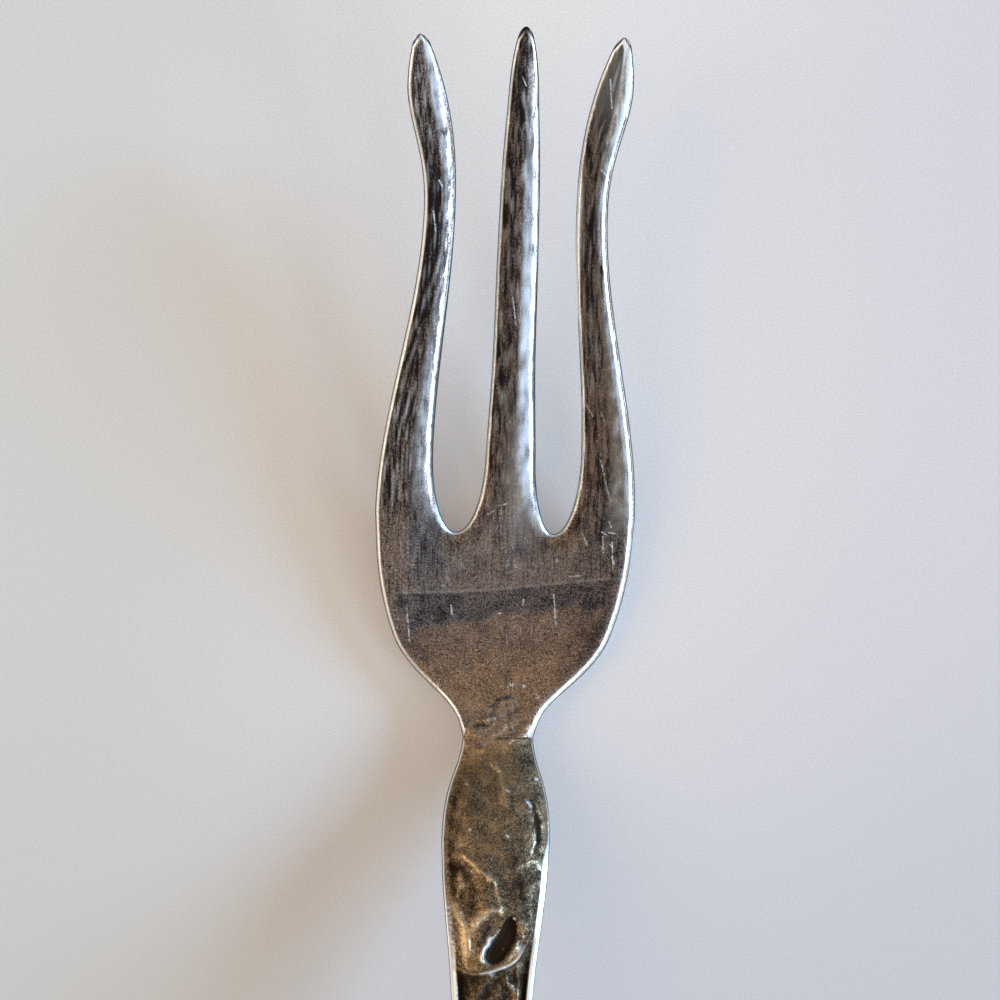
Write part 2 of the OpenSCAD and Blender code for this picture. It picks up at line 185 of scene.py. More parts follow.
def inner_edge(s):
    waist_share = ease((s - SLOT_FULL_S) / (WAIST_S - SLOT_FULL_S))
    tip_share = np.clip((s - WAIST_S) / (OUTER_TIP_S - WAIST_S), 0, 1) ** 2.4
    return np.select(
        [s < SLOT_FULL_S, s < WAIST_S],
        [blend(SLOT_X, INNER_W / 2, slot_opening(s)), blend(INNER_W, WAIST_GAP_W, waist_share) / 2],
        blend(WAIST_GAP_W / 2, TIP_X - TIP_W / 2, tip_share),
    )


def mid_edge(s):
    share = (s - SLOT_FULL_S) / (TIP_S - SLOT_FULL_S)
    return np.where(
        s < SLOT_FULL_S,
        blend(SLOT_X, MID_TINE_W / 2, slot_opening(s)),
        blend(MID_TINE_W, TIP_W, curve(MID_TAPER, share)) / 2,
    )


def bend(s):
    return TIPS_BEND * (np.maximum(s, 0) / TIP_S) ** 1.3


def tine_middle(k, s):
    """Middle line and half width of the left, middle and right tine (k = 0, 1, 2), before its end is rounded."""
    mid = bend(s) + MID_SHIFT * slot_opening(s)
    left = (bend(s) - outer_edge(s), mid - mid_edge(s), bend(s) + inner_edge(s))[k]
    right = (bend(s) - inner_edge(s), mid + mid_edge(s), bend(s) + outer_edge(s))[k]
    return (left + right) / 2, (right - left) / 2


def tine_edges(k, s):
    """Left and right edges of a tine, with its end rounded."""
    middle, half = tine_middle(k, s)
    past = np.clip((s - TINE_ENDS[k] + TIP_ROUND) / TIP_ROUND, 0, 0.998)
    half = half * np.sqrt(1 - past ** 2)
    return middle - half, middle + half


def head_outlines():
    """Lines of places along the left outer edge, the right outer edge and both slots."""
    run = np.linspace(0, 1, 80) ** 2
    forward = [SLOT_L + (TINE_ENDS[k] - SLOT_L) * run for k in range(3)]
    edges = [tine_edges(k, forward[k]) for k in range(3)]
    behind = np.linspace(-1.5, SLOT_L, 26)[:-1]
    sides = []
    for side, k, e in ((-1, 0, 0), (1, 2, 1)):
        plate = bend(behind) + side * outer_edge(behind)
        sides.append(np.stack([np.append(plate, edges[k][e]), np.append(behind, forward[k])], -1))
    slots = [
        np.stack([np.append(edges[k][1][::-1], edges[k + 1][0]), np.append(forward[k][::-1], forward[k + 1])], -1)
        for k in (0, 1)
    ]
    return sides + slots


def lift(x, s):
    return curve(DISH_LINE, s) * ((x - bend(s)) / outer_edge(s)) ** 2


def head_section(x, s, edges, limit=9.0, rise=RISE, right_r=RIGHT_R):
    """Height of the edge line, of the front above it and of the back below it.

    The front falls off sharply at edges on its left and in a wide round at those on its right.
    The edges are distances from the left and right outer edges and from both slots.
    """
    flat = ease((s + 0.6) / 1.8)
    thick = curve(THICKNESS, s)
    drop = blend(thick / 2, rise, flat)
    first_slot, second_slot = (ease((x - bend(s) - middle) / 1.6 + 0.5) for middle in (-SLOT_X, SLOT_X))
    front = 1.0
    for inside, leftness in zip(edges, (1.0, 0.0, first_slot, second_slot)):
        r = np.minimum(blend(right_r, LEFT_R, leftness), blend(1.3, 0.6, leftness) * limit)
        front = front * quarter(inside / blend(SEAM_ROUND, r, flat))
    nearest = np.minimum(np.minimum(edges[0], edges[1]), np.minimum(edges[2], edges[3]))
    back_r = np.minimum(blend(NECK_W / 2, EDGE_R, ease(s / HEEL_L)), limit)
    middle = spine(s) + thick / 2 - drop
    return middle, drop * front, (thick - drop) * quarter(nearest / back_r)


def waves(x, s, edges):
    """Unevenness of the root plate's front, strongest near the neck."""
    rough = 0.022 * ripple(x, s, 6, 1.0, 24) * ease((6 - s) / 4) + 0.006 * ripple(x, s, 9, 2.5, 24)
    return rough * ease(s / 0.4) * ease(np.min(edges, axis=0) / 0.8)


# Sections of the handle

def handle_size(sizes, b):
    end_share = np.sqrt(np.maximum(0, 1 - ((b - END_START) / END_ROUND) ** 2))
    return np.select(
        [b < BULB_BACK, b < STEM_BACK, b < END_START],
        [
            blend(sizes[0], sizes[1], curve(BULB_SWELL, b / BULB_BACK)),
            blend(sizes[1], sizes[2], curve(BULB_FALL, (b - BULB_BACK) / (STEM_BACK - BULB_BACK))),
            blend(sizes[2], sizes[3], ease((b - STEM_BACK) / (END_START - STEM_BACK))),
        ],
        blend(sizes[4], sizes[3], end_share),
    )


def inset(x, b):
    """Distance of places on the handle from its outline, seen from above."""
    width = handle_size(WIDTHS, b)
    slope = (handle_size(WIDTHS, b + 0.01) - width) / 2 / 0.01
    return np.minimum((width / 2 - np.abs(x)) / np.hypot(1, slope), HANDLE_L - b)


# Meshes

def make_piece(name, points, faces, values, node, material):
    """A smooth mesh piece in metres, with one float attribute for each named list of values."""
    mesh = bpy.data.meshes.new(name)
    mesh.from_pydata((np.asarray(points) * MM).tolist(), [], faces)
    mesh.update()
    mesh.shade_smooth()
    for label, amounts in values.items():
        attribute = mesh.attributes.new(label, "FLOAT", "POINT")
        attribute.data.foreach_set("value", np.asarray(amounts, np.float32))
    mesh.materials.append(material)
    piece = bpy.data.objects.new(name, mesh)
    bpy.context.scene.collection.objects.link(piece)
    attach(piece, "root")
    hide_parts(node)
    return piece


def ladder(a, b):
    """Faces between two rows of equally many points."""
    return [(a[i], a[i + 1], b[i + 1], b[i]) for i in range(len(a) - 1)]


def stitch(a, b):
    """Triangles between two rows of different numbers of points."""
    faces = []
    i = j = 0
    while i < len(a) - 1 or j < len(b) - 1:
        if j == len(b) - 1 or (i < len(a) - 1 and (i + 1) * (len(b) - 1) <= (j + 1) * (len(a) - 1)):
            faces.append((a[i], a[i + 1], b[j]))
            i += 1
        else:
            faces.append((a[i], b[j + 1], b[j]))
            j += 1
    return faces


def loop(ids):
    return list(ids) + [ids[0]]


# Soft marks and relief, drawn with strokes and outlines in millimetres

def smooth_line(points, steps=6, closed=False):
    """Points along a smooth line through given points."""
    pts = np.array(points, float)
    if closed:
        pts = np.vstack([pts[-1:], pts, pts[:2]])
    else:
        pts = np.vstack([2 * pts[0] - pts[1], pts, 2 * pts[-1] - pts[-2]])
    out = []
    for p0, p1, p2, p3 in zip(pts[:-3], pts[1:-2], pts[2:-1], pts[3:]):
        for t in np.arange(steps) / steps:
            out.append(
                0.5 * (2 * p1 + (p2 - p0) * t + (2 * p0 - 5 * p1 + 4 * p2 - p3) * t ** 2
                       + (3 * p1 - p0 - 3 * p2 + p3) * t ** 3)
            )
    if not closed:
        out.append(pts[-2])
    return np.array(out)


def distance(x, y, line):
    """Distance from each place to a line, and the share of the line's length at the nearest point."""
    nearest = np.full(x.shape, 1e9)
    share = np.zeros(x.shape)
    count = len(line) - 1
    for i in range(count):
        (ax, ay), (bx, by) = line[i], line[i + 1]
        dx, dy = bx - ax, by - ay
        t = np.clip(((x - ax) * dx + (y - ay) * dy) / (dx * dx + dy * dy + 1e-12), 0, 1)
        d = np.hypot(x - ax - t * dx, y - ay - t * dy)
        closer = d < nearest
        nearest = np.where(closer, d, nearest)
        share = np.where(closer, (i + t) / count, share)
    return nearest, share


def stroke(x, y, points, width, fade=0.15):
    """1 on a smooth line, falling softly to 0 beside it and at its ends."""
    d, share = distance(x, y, smooth_line(points))
    ends = ease(np.minimum(share, 1 - share) / fade + 0.15) if fade else 1
    return np.exp(-(d / width) ** 2) * ends


def patch(x, y, points, soft):
    """1 inside a smooth closed outline, falling to 0 over a soft edge."""
    line = smooth_line(points, closed=True)
    line = np.vstack([line, line[:1]])
    d, _ = distance(x, y, line)
    inside = np.zeros(x.shape, bool)
    for (ax, ay), (bx, by) in zip(line[:-1], line[1:]):
        if ay != by:
            crosses = (ay > y) != (by > y)
            inside ^= crosses & (x < ax + (y - ay) / (by - ay) * (bx - ax))
    return ease(np.where(inside, 1, -1) * d / (2 * soft) + 0.5)


def spot(x, y, cx, cy, rx, ry=None):
    return np.exp(-((x - cx) / rx) ** 2 - ((y - cy) / (ry or rx)) ** 2)


def spots(x, y, places):
    """Sum of soft spots, each given by its amount, its middle and its radii."""
    return sum(amount * spot(x, y, *place) for amount, *place in places)


def ripple(x, y, seed, size, count=14):
    """Soft uneven waves of about that size, between -1 and 1."""
    rng = np.random.default_rng(seed)
    total = np.zeros(x.shape)
    for _ in range(count):
        angle = rng.uniform(0, math.tau)
        pace = math.tau / size * rng.uniform(0.5, 1.5)
        total += np.sin((x * math.cos(angle) + y * math.sin(angle)) * pace + rng.uniform(0, math.tau))
    return total / math.sqrt(count)


# Head

TINE_COLUMNS = 40
HEAD_COLUMNS = 3 * TINE_COLUMNS
ROW_STEP = 0.13


def rim(inside, width, soft=0.12):
    """1 from an edge inwards over a width, then softly 0."""
    return ease((width - inside) / soft + 0.5)


# Lighter metal along the right-hand part of each tine, at places along it: worn plating with a painted highlight on it
LENGTHWISE_WEAR_AND_SHEEN = [
    [(20, 0.2), (30, 0.25), (41, 0.1), (50, 0.4), (58, 0.45)],
    [(20, 0.5), (30, 0.55), (41, 0.5), (52, 0.15), (58, 0.05)],
    [(20, 0.3), (30, 0.3), (41, 0.0), (50, 0.5), (58, 1.3)],
]


# Stains on the front of the head, and a painted highlight at the base of the middle tine: amount, x, s, reach across
# and reach along
HEAD_STAINS_AND_HIGHLIGHT = {
    "gold": [
        (1.0, 5.3, 16.6, 1.6, 1.0), (0.8, -1.9, 16.3, 1.5, 0.9), (0.25, -2.6, 14.2, 1.6, 0.8),
        (0.6, -3.9, 15.6, 1.2, 0.7), (0.7, -9.2, 16.3, 0.9, 3.5),
    ],
    "grey": [
        (0.5, -6.4, 14.9, 1.5, 2.6), (0.7, 1.8, 18.5, 1.2, 3.6), (0.4, -6.6, 20, 1.0, 3.5), (0.6, 9.3, 21.5, 1.3, 3.2),
    ],
    "dark": [
        (0.4, -6.2, 14.6, 1.4, 2.2), (0.25, 1.2, 15.4, 1.2, 0.7), (-0.15, 1.6, 18.5, 1.2, 2.5),
        (0.9, -7.2, 44.5, 0.3, 0.16), (0.35, 7.2, 9.5, 1.8, 2.8), (0.22, -6.2, 8.4, 1.8, 1.3),
        (-0.12, -9.2, 16.3, 0.9, 3.5), (0.3, 9.3, 21.5, 1.3, 3.2), (0.25, -7.4, 18.0, 1.2, 1.6),
        (0.3, -5.7, 17.6, 0.8, 1.2), (0.12, 0, 7, 8, 3),
    ],
    # Painted highlight at the base of the middle tine; the grey spot at 1.8, 18.5 and the negative dark spot at 1.6,
    # 18.5 are part of it
    "worn": [(0.22, 0.9, 22, 0.7, 4.5)],
}


def head_marks(x, s, edges, front):
    """Colour marks of the head: patina of warm brown, grey film, dark deposit, worn metal and polish, together with
    painted highlights and sheen on the edges and tines, a painted dark reflection band across the plate and a painted
    dark outline.
    """
    left, right, first_slot, second_slot = edges
    slots = np.minimum(first_slot, second_slot)
    edge = np.minimum(np.minimum(left, right), slots)
    middle = ease((edge - 0.9) / 0.8)
    tines = ease((s - ROOT_L + 1) / 6)
    upper = ease((s - 24) / 14)
    # Painted reflection across the plate: a darker band between band_top and band_bottom, lighter grey on the plate
    # above it, and a thin painted highlight along its upper edge
    band_top = curve([(-11, 11.8), (-4.3, 12.0), (0, 12.35), (4.9, 12.95), (11, 13.6)], x)
    band_bottom = curve([(-11, 7.8), (-5, 9.5), (0, 10.4), (11, 11.4)], x) + 0.3 * ripple(x, s, 5, 2.5)
    dark_reflection_band = ease((band_top - s) / 0.1 + 0.5) * ease((s - band_bottom) / 1.1 + 0.5) * middle
    above = ease((s - band_top) / 0.1 + 0.5)
    gold = 0.15 + 0.75 * ease((10 - s) / 8) + 0.1 * ripple(x, s, 1, 2.2)
    gold += front * spots(x, s, HEAD_STAINS_AND_HIGHLIGHT["gold"])
    gold -= 0.2 * above * (1 - tines) + 0.3 * dark_reflection_band + 0.1 * ease((2.6 - left) / 1.5) * ease((s - 4) / 5)
    grey = above * (1 - tines) * 0.4 * ease((left - 2) / 1.5) * middle + 0.5 * dark_reflection_band
    grey += front * spots(x, s, HEAD_STAINS_AND_HIGHLIGHT["grey"]) + 0.4 * spot(x, s, 9.2, 17, 1.0, 5)
    dark = front * 0.48 * dark_reflection_band + 0.1 * ripple(x, s, 2, 2.5) + 0.1 * tines + 0.2 * upper
    # Darker band about a millimetre in from the edges, fading out on the tines
    dark += (0.2 + 0.12 * (x > 0)) * np.exp(-((edge - 1.05) / 0.5) ** 2) * ease((s - 2) / 5) * (1 - 0.7 * tines)
    dark += front * spots(x, s, HEAD_STAINS_AND_HIGHLIGHT["dark"]) + 0.5 * spot(x, s, 8.3, 17.2, 1.6, 3.2)
    dark += 0.2 * rim(slots, 0.5, 0.3) * np.exp(-((s - SLOT_L) / 1.6) ** 2)
    dark += front * 0.8 * stroke(x, s, [(6.6, 46.95), (7.5, 46.8), (8.3, 46.75)], 0.1)
    # Worn edges with a painted highlight along them: wide on the right outer edge, narrow on the left one and in the
    # slots
    worn = rim(right, 0.42) * ease((s + 0.2) / 0.3) + rim(left, 0.3, 0.1) + 0.9 * rim(slots, 0.24, 0.1)
    worn += front * spots(x, s, HEAD_STAINS_AND_HIGHLIGHT["worn"])
    # Thin painted highlight along the upper edge of the dark reflection band
    worn += front * 0.16 * middle * np.exp(-((s - band_top - 0.12) / 0.09) ** 2) * (0.8 + 0.4 * ripple(x, s, 45, 0.9))
    for k in range(3):
        centre, half = tine_middle(k, s)
        across = (x - centre) / half
        own = (np.abs(across) < 1.02) * front
        close = ease((s - TINE_ENDS[k] + 1.3) / 1.1) * own * (0.2, 1, 0.1)[k] * ease((0.8 - across) / 0.4)
        # The right-hand part of each tine gets grey, less dark and brighter lengthwise: a painted sheen on the tine's
        # right side, with worn plating in it
        clean = ease((across - 0.1) / 0.3) * tines * own
        streaks = ripple(2.4 * (x - centre), 0.3 * s, 41 + k, 1.0, 20) * own * tines
        grey += 0.5 * clean + (0, 0, 0.3)[k] * own * upper
        gold += (0.7, 0.2, 0.1)[k] * own * tines * ease((0.4 - across) / 0.5) * ease((42 - s) / 8)
        dark += (0.24, -0.09, -0.32)[k] * own * tines * ease((52 - s) / 6) - 0.25 * clean + 0.34 * streaks
        dark += (0.35, 0.1, 0)[k] * own * ease(1.2 - np.abs(s - 42) / 5) * ease((0.2 - across) / 0.4)
        dark += (-0.22, 0.35, 0.24)[k] * own * ease((s - 50) / 4) * (1 - 0.8 * clean)
        worn += curve(LENGTHWISE_WEAR_AND_SHEEN[k], s) * clean * (1 - 0.5 * ripple(x, s, 8, 1.5))
        worn += 0.22 * np.maximum(-streaks - 0.4, 0)
        worn += (0, 0, 0.12)[k] * own * ease((s - 50) / 4)
        # Painted light along each tine's right edge: a painted dark line at the edge (wall) with a painted white
        # highlight line just inside it (white_w)
        to_right = (1 - across) * half
        wall_w = blend(0.12, (0.25, 0.3, 0.12)[k], ease((42 - s) / 12))
        wall = rim(to_right, wall_w, 0.08) * tines * own
        white_w = wall_w + (0.26, 0.15, 0.36)[k] + (0, 0, 0.16)[k] * ease((s - 51) / 3)
        worn += 0.8 * rim(to_right, white_w, 0.12) * tines * own * (0.85 - 0.5 * ripple(x, s, 44, 0.8))
        worn *= (1 - 0.9 * wall) * (1 - close)
        dark += 0.8 * wall + 0.6 * close
    # Painted dark outline along every edge, standing for the shade under it
    outline = rim(edge, 0.09, 0.05)
    worn *= 1 - 0.9 * outline
    dark += 0.7 * outline
    # Painted highlight along the left flank of the right tine, with a darker stripe beside it
    worn += front * 0.9 * stroke(x, s, [(5.9, 47), (5.8, 43), (5.75, 39), (5.8, 34)], 0.2)
    dark += front * 0.75 * stroke(x, s, [(6.9, 46), (6.8, 42.5), (6.75, 39), (6.9, 35)], 0.36)
    tip_stripe = stroke(x, s, [(9.1, 58.3), (9.1, 57.2), (8.6, 55), (7.9, 53), (7.5, 50.5)], 0.32)
    dark += front * 0.55 * tip_stripe * (1 + 0.5 * ripple(x, s, 46, 0.5))
    # Painted glints: small bright specks
    for cx, cs in [(0.5, 14.45), (-0.33, 10.4), (1.15, 4.45), (2.1, 4.3), (3.3, 3.4), (4.6, 14.9), (-4.9, 12.6)]:
        worn += front * spot(x, s, cx, cs, 0.09)
    return {"gold": gold, "grey": grey, "dark": dark, "worn": worn, "front": front,
            "polish": np.maximum(tines, 0.3 * front * above)}


def around(top):
    """Rows over the top from left to right, and back underneath at every second column."""
    return np.concatenate([top, top[:, -3:0:-2]], 1)


def around_front(top):
    """1 on the front and 0 underneath, laid out as the rows are."""
    return np.concatenate([np.ones(top.shape), np.zeros(top[:, -3:0:-2].shape)], 1)


def head_rows(xs, s, middle, over, under):
    """Points of rings of the head, one for each row."""
    s = np.broadcast_to(s, xs.shape)
    top = np.stack([xs, SEAM_Y + s, middle + over], -1)
    below = np.stack([xs, SEAM_Y + s, middle - under], -1)
    rows = np.concatenate([top, below[:, -3:0:-2]], 1)
    rows[..., 2] = np.maximum(rows[..., 2], 0)
    return rows


def edge_distances(xs, s, outlines):
    s = np.broadcast_to(s, xs.shape)
    return np.stack([distance(xs, s, line)[0] for line in outlines])


def make_head(material):
    turn = np.linspace(0, 1, TINE_COLUMNS + 1) * math.pi
    outlines = head_outlines()
    root = np.array([SLOT_L])

    def tine_columns(k, s):
        left, right = tine_edges(k, s)
        return (left + right)[:, None] / 2 - (right - left)[:, None] / 2 * np.cos(turn)

    slot_columns = np.concatenate([tine_columns(k, root)[0, (1 if k else 0):] for k in range(3)])
    slot_columns = (slot_columns - bend(root)) / outer_edge(root)
    neck_columns = -np.cos(np.linspace(0, math.pi, HEAD_COLUMNS + 1))

    # Tang
    t = np.linspace(-TANG_L, -0.001, 24)[:, None]
    share = -t / TANG_L
    xs = blend(TANG_W, TANG_END_W, share) / 2 * neck_columns
    halves = blend(TANG_T, TANG_END_T, share) / 2 * np.sqrt(np.maximum(0, 1 - neck_columns ** 2))
    parts = [head_rows(xs, t, spine(t), halves, halves)]
    edge_rows = [np.ones((4,) + xs.shape)]

    # Root plate, from the seam to the slots
    s = np.append(np.arange(0, SLOT_L - 0.3, ROW_STEP), SLOT_L - np.array([0.3, 0.2, 0.12, 0.06, 0.02, 0]))[:, None]
    columns = blend(neck_columns, slot_columns, ease(s / SLOT_L))
    xs = bend(s) + outer_edge(s) * columns
    edges = edge_distances(xs, s, outlines)
    middle, over, under = head_section(xs, s, edges)
    for part in (over, under):
        part[-1, [TINE_COLUMNS, 2 * TINE_COLUMNS]] = 0
    parts.append(head_rows(xs, s, middle + lift(xs, s), over + waves(xs, s, edges), under))
    edge_rows.append(edges)

    n = 3 * HEAD_COLUMNS // 2
    rows = len(t) + len(s)
    last = (rows - 1) * n

    def row_ids(i):
        ids = np.arange(n) + i * n
        if i == rows - 1:
            for k in (1, 2):
                ids[HEAD_COLUMNS + (3 - k) * TINE_COLUMNS // 2] = ids[k * TINE_COLUMNS]
        return loop(ids.tolist())

    faces = [tuple(range(n))]
    for i in range(rows - 1):
        faces += ladder(row_ids(i), row_ids(i + 1))

    # Tines
    start = rows * n
    tine_n = 3 * TINE_COLUMNS // 2
    for k in range(3):
        end = TINE_ENDS[k]
        places = np.concatenate([
            SLOT_L + SLOT_ROUND * (1 - np.cos(np.radians([2, 4, 6, 8, 10.5, 13, 16]))),
            np.arange(SLOT_L + 0.4, end - 0.6, ROW_STEP),
            end - TIP_ROUND * (1 - np.sin(np.radians([0, 15, 30, 45, 60, 72, 82, 90]))),
        ])
        s = places[:, None]
        xs = tine_columns(k, places)
        edges = edge_distances(xs, s, outlines)
        centre, half_w = tine_middle(k, s)
        rise = blend(0.2, RISE, ease((end - s) / 6))
        right_r = blend(RIGHT_R, RIGHT_ROUNDS[k], ease((s - SLOT_L) / 7))
        middle, over, under = head_section(xs, s, edges, half_w, rise, right_r)
        tilt = (1 - k) * TINE_TILT * ease((s - 30) / 14) * (centre - xs)
        parts.append(head_rows(xs, s, middle + lift(xs, s) + tilt, over, under))
        edge_rows.append(edges)
        first = last + k * TINE_COLUMNS
        over = list(range(first, first + TINE_COLUMNS + 1))
        back = last + HEAD_COLUMNS + (2 - k) * TINE_COLUMNS // 2
        under = list(range(back + 1, back + TINE_COLUMNS // 2))
        before = loop(over + under)
        for i in range(len(places)):
            ids = loop(list(range(start + i * tine_n, start + (i + 1) * tine_n)))
            faces += ladder(before, ids)
            before = ids
        faces.append(tuple(before[-2::-1]))
        start += len(places) * tine_n

    edges = np.stack([np.concatenate([around(e[i]).ravel() for e in edge_rows]) for i in range(4)])
    front = np.concatenate([around_front(e[0]).ravel() for e in edge_rows])
    points = np.concatenate([p.reshape(-1, 3) for p in parts])
    x, s = points[:, 0], points[:, 1] - SEAM_Y
    marks = head_marks(x, s, edges, front)
    return make_piece("silver_head", points, faces, marks, "tine_head", material)


# Handle

FRONT_COLUMNS = 132
REAR_COLUMNS = 60
HOLLOW_COLUMNS = 12
FRONT_BOX = 2.8
REAR_BOX = 2.0


def section(width, height, power, columns):
    """Points across a rounded section from left to right, at equal steps along its line."""
    q = -np.cos(np.linspace(0, math.pi, 600))
    z = height * (1 - np.abs(q) ** power) ** (1 / power)
    x = width * q
    run = np.concatenate([[0], np.cumsum(np.hypot(np.diff(x), np.diff(z)))])
    at = np.linspace(0, run[-1], columns + 1)
    return np.interp(at, run, x), np.interp(at, run, z)


SCROLL_HOLLOW = [
    (1.55, 14.9), (1.9, 16.0), (1.6, 17.3), (0.9, 18.4), (0.1, 18.85), (-0.5, 18.5), (-0.4, 17.7), (0.1, 16.9),
    (0.65, 16.1), (1.0, 15.3),
]


def bulb_relief(x, b):
    """Height of the leaves and scroll on the bulb above its plain dome."""
    z = 0.04 * ripple(x, b, 11, 2.4) * ease(b / 3)
    z += 0.016 * ripple(x, b, 12, 0.8, 24) * ease(b / 2)
    # Scroll: a deep tilted hollow
    z -= 0.42 * patch(x, b, SCROLL_HOLLOW, 0.3)
    x, b = x + 0.06 * ripple(x, b, 13, 1.6), b + 0.07 * ripple(x, b, 14, 1.8)
    # Folds beside the neck
    z += 0.13 * stroke(x, b, [(-0.55, 1.9), (-0.2, 2.5), (0.15, 3.0)], 0.16)
    z += 0.07 * stroke(x, b, [(0.2, 2.9), (0.5, 4.4), (0.7, 6.0)], 0.35)
    for cx, cb in [(-1.3, 1.5), (-0.7, 2.35), (-0.5, 3.2), (-0.75, 3.9)]:
        z -= 0.08 * spot(x, b, cx, cb, 0.28)
    # Grooves along both sides
    z -= 0.16 * stroke(x, b, [(-3.35, 4.6), (-3.75, 6.5), (-3.75, 9.0), (-3.55, 12.0)], 0.34)
    z -= 0.2 * stroke(x, b, [(2.4, 5.0), (3.0, 5.7), (3.4, 6.7), (3.5, 7.8), (3.45, 9.2), (3.2, 10.0)], 0.2) * 0.5
    z += 0.1 * stroke(x, b, [(1.8, 4.8), (2.6, 5.05), (3.3, 5.6), (3.8, 6.7), (3.95, 7.6)], 0.18)
    z += 0.06 * stroke(x, b, [(3.9, 11.0), (3.7, 10.5), (3.1, 10.25), (2.2, 10.6), (1.4, 10.95)], 0.15)
    # Fold that runs down to the tongue, and the hollow leaf left of it
    z -= 0.32 * patch(x, b, [(-3.7, 10.2), (-2.3, 10.5), (-1.4, 12.2), (-1.7, 14.4), (-2.7, 14.9), (-3.6, 12.9)], 0.45)
    z += 0.16 * stroke(x, b, [(-3.0, 11.1), (-2.85, 12.4), (-3.05, 13.5)], 0.3)
    z += 0.14 * stroke(x, b, [(-2.8, 9.6), (-2.3, 10.2), (-1.3, 11.0), (-0.4, 11.6), (0.3, 12.4)], 0.3)
    z += 0.13 * patch(x, b, [(-1.3, 11.2), (0.1, 11.7), (0.7, 13.0), (0.7, 14.2), (-0.4, 14.7), (-1.2, 13.4)], 0.35)
    z += 0.06 * spot(x, b, -3.05, 9.3, 0.36) - 0.1 * spot(x, b, -3.05, 9.3, 0.16)
    # Two gold strands that meet above the petal
    z += 0.2 * stroke(x, b, [(0.9, 14.5), (-0.2, 14.4), (-1.0, 14.9), (-1.6, 15.6), (-2.1, 16.6)], 0.34)
    z += 0.22 * stroke(x, b, [(-3.5, 13.5), (-3.1, 14.5), (-2.6, 15.6), (-2.3, 17.0), (-2.15, 18.8)], 0.4)
    z += 0.08 * patch(x, b, [(-1.7, 16.4), (-0.6, 15.3), (0.8, 15.0), (0.1, 16.4), (-0.7, 17.4), (-1.1, 18.8)], 0.35)
    # Lips of the scroll
    z += 0.17 * stroke(x, b, [(0.35, 16.6), (-0.3, 16.75), (-0.7, 17.3), (-0.95, 18.1), (-0.8, 18.9)], 0.17)
    z += 0.14 * stroke(x, b, [(2.0, 16.7), (1.6, 17.8), (0.9, 18.7), (0.0, 19.15)], 0.24)
    z += 0.1 * stroke(x, b, [(1.5, 14.7), (0.9, 15.2), (0.5, 15.9)], 0.18)
    return z


def shaft_relief(x, b):
    """Crossed strands behind the scroll's rim."""
    rim_line = [
        (-3.2, 19.1), (-2.5, 19.5), (-1.6, 19.75), (-0.4, 19.5), (0.9, 19.15), (2.1, 18.3), (2.8, 17.0), (3.2, 16.2)
    ]
    below = ease((b - curve([(-3.2, 19.1), (-1.6, 19.75), (0.9, 19.15), (2.1, 18.3), (3.2, 16.2)], x)) / 0.5)
    fade = ease((27 - b) / 3)
    z = -0.34 * below * fade
    z += 0.26 * stroke(x, b, rim_line, 0.19, 0)
    x, b = x + 0.08 * ripple(x, b, 15, 1.2), b + 0.1 * ripple(x, b, 16, 1.4)
    z += 0.26 * stroke(x, b, [(0.2, 19.6), (-0.8, 20.6), (-1.5, 21.8), (-1.9, 23.5)], 0.36)
    z += 0.3 * stroke(x, b, [(0.8, 19.8), (1.5, 20.8), (2.0, 21.8), (2.1, 23.5)], 0.28)
    z += 0.25 * stroke(x, b, [(1.9, 19.0), (2.15, 20.5), (2.2, 22.5)], 0.18)
    z += 0.2 * stroke(x, b, [(1.0, 20.2), (0.1, 21.6), (-0.6, 23.4)], 0.32)
    return z


def petal(x, b, root_x, root_b, angle, length, width):
    """Dome of one pointed petal from its root, turned from the handle's line by an angle in degrees."""
    turn = math.radians(angle)
    u = ((x - root_x) * math.sin(turn) + (b - root_b) * math.cos(turn)) / length
    v = (x - root_x) * math.cos(turn) - (b - root_b) * math.sin(turn)
    reach = width * np.sqrt(np.clip(u * 2.2, 0, 1)) * np.sqrt(np.clip((1 - u) * 1.8, 0, 1))
    dome = np.sqrt(np.clip(1 - (v / np.maximum(reach, 1e-3)) ** 2, 0, 1)) * (reach > 0)
    vein = 0.3 * np.exp(-(v / (0.12 * width + 0.04)) ** 2)
    return dome * ease(np.minimum(u, 1 - u) * 5) * (1 - vein)


def stem_relief(x, b):
    """Chain of bell-shaped husks along the stem, and a fan of petals on the spread end."""
    z = np.zeros(x.shape)
    place, size = 27.0, 4.6
    while place < 76:
        for angle in (-24, 24, 0):
            height, length = (0.17, 0.85 * size) if angle else (0.2, size)
            z = np.maximum(z, height * petal(x, b, 0, place, angle, length, size * 0.19))
        z = np.maximum(z, 0.17 * np.sqrt(np.clip(1 - (x ** 2 + (b - place) ** 2) / 0.25, 0, 1)))
        place += size + 0.6
        size *= 1.045
    for angle in (-76, -52, -27, 27, 52, 76, 0):
        length = 13 - 0.075 * abs(angle)
        z = np.maximum(z, 0.42 * petal(x, b, 0, 85.5, angle * 0.9, length * (0.72 if angle else 1), 1.25))
    z = np.maximum(z, 0.45 * np.sqrt(np.clip(1 - (x ** 2 + (b - 85.5) ** 2) / 1.2, 0, 1)))
    return z


def bevel(x, z, b, width, height, power):
    """Section with a sloping border: narrow along the left edge, wide along the right edge behind the bulb."""
    right = x > 0
    inside = width - np.abs(x)
    reach = np.where(right, 0.12 + 0.36 * ease((b - 8) / 3), 0.16)
    slope = np.where(right, 0.62, 0.7)
    top = height * (1 - (1 - reach / width) ** power) ** (1 / power)
    border = (top - slope * (reach - inside)) * quarter(inside / 0.06)
    return np.where(inside < reach, np.maximum(z, border), z)


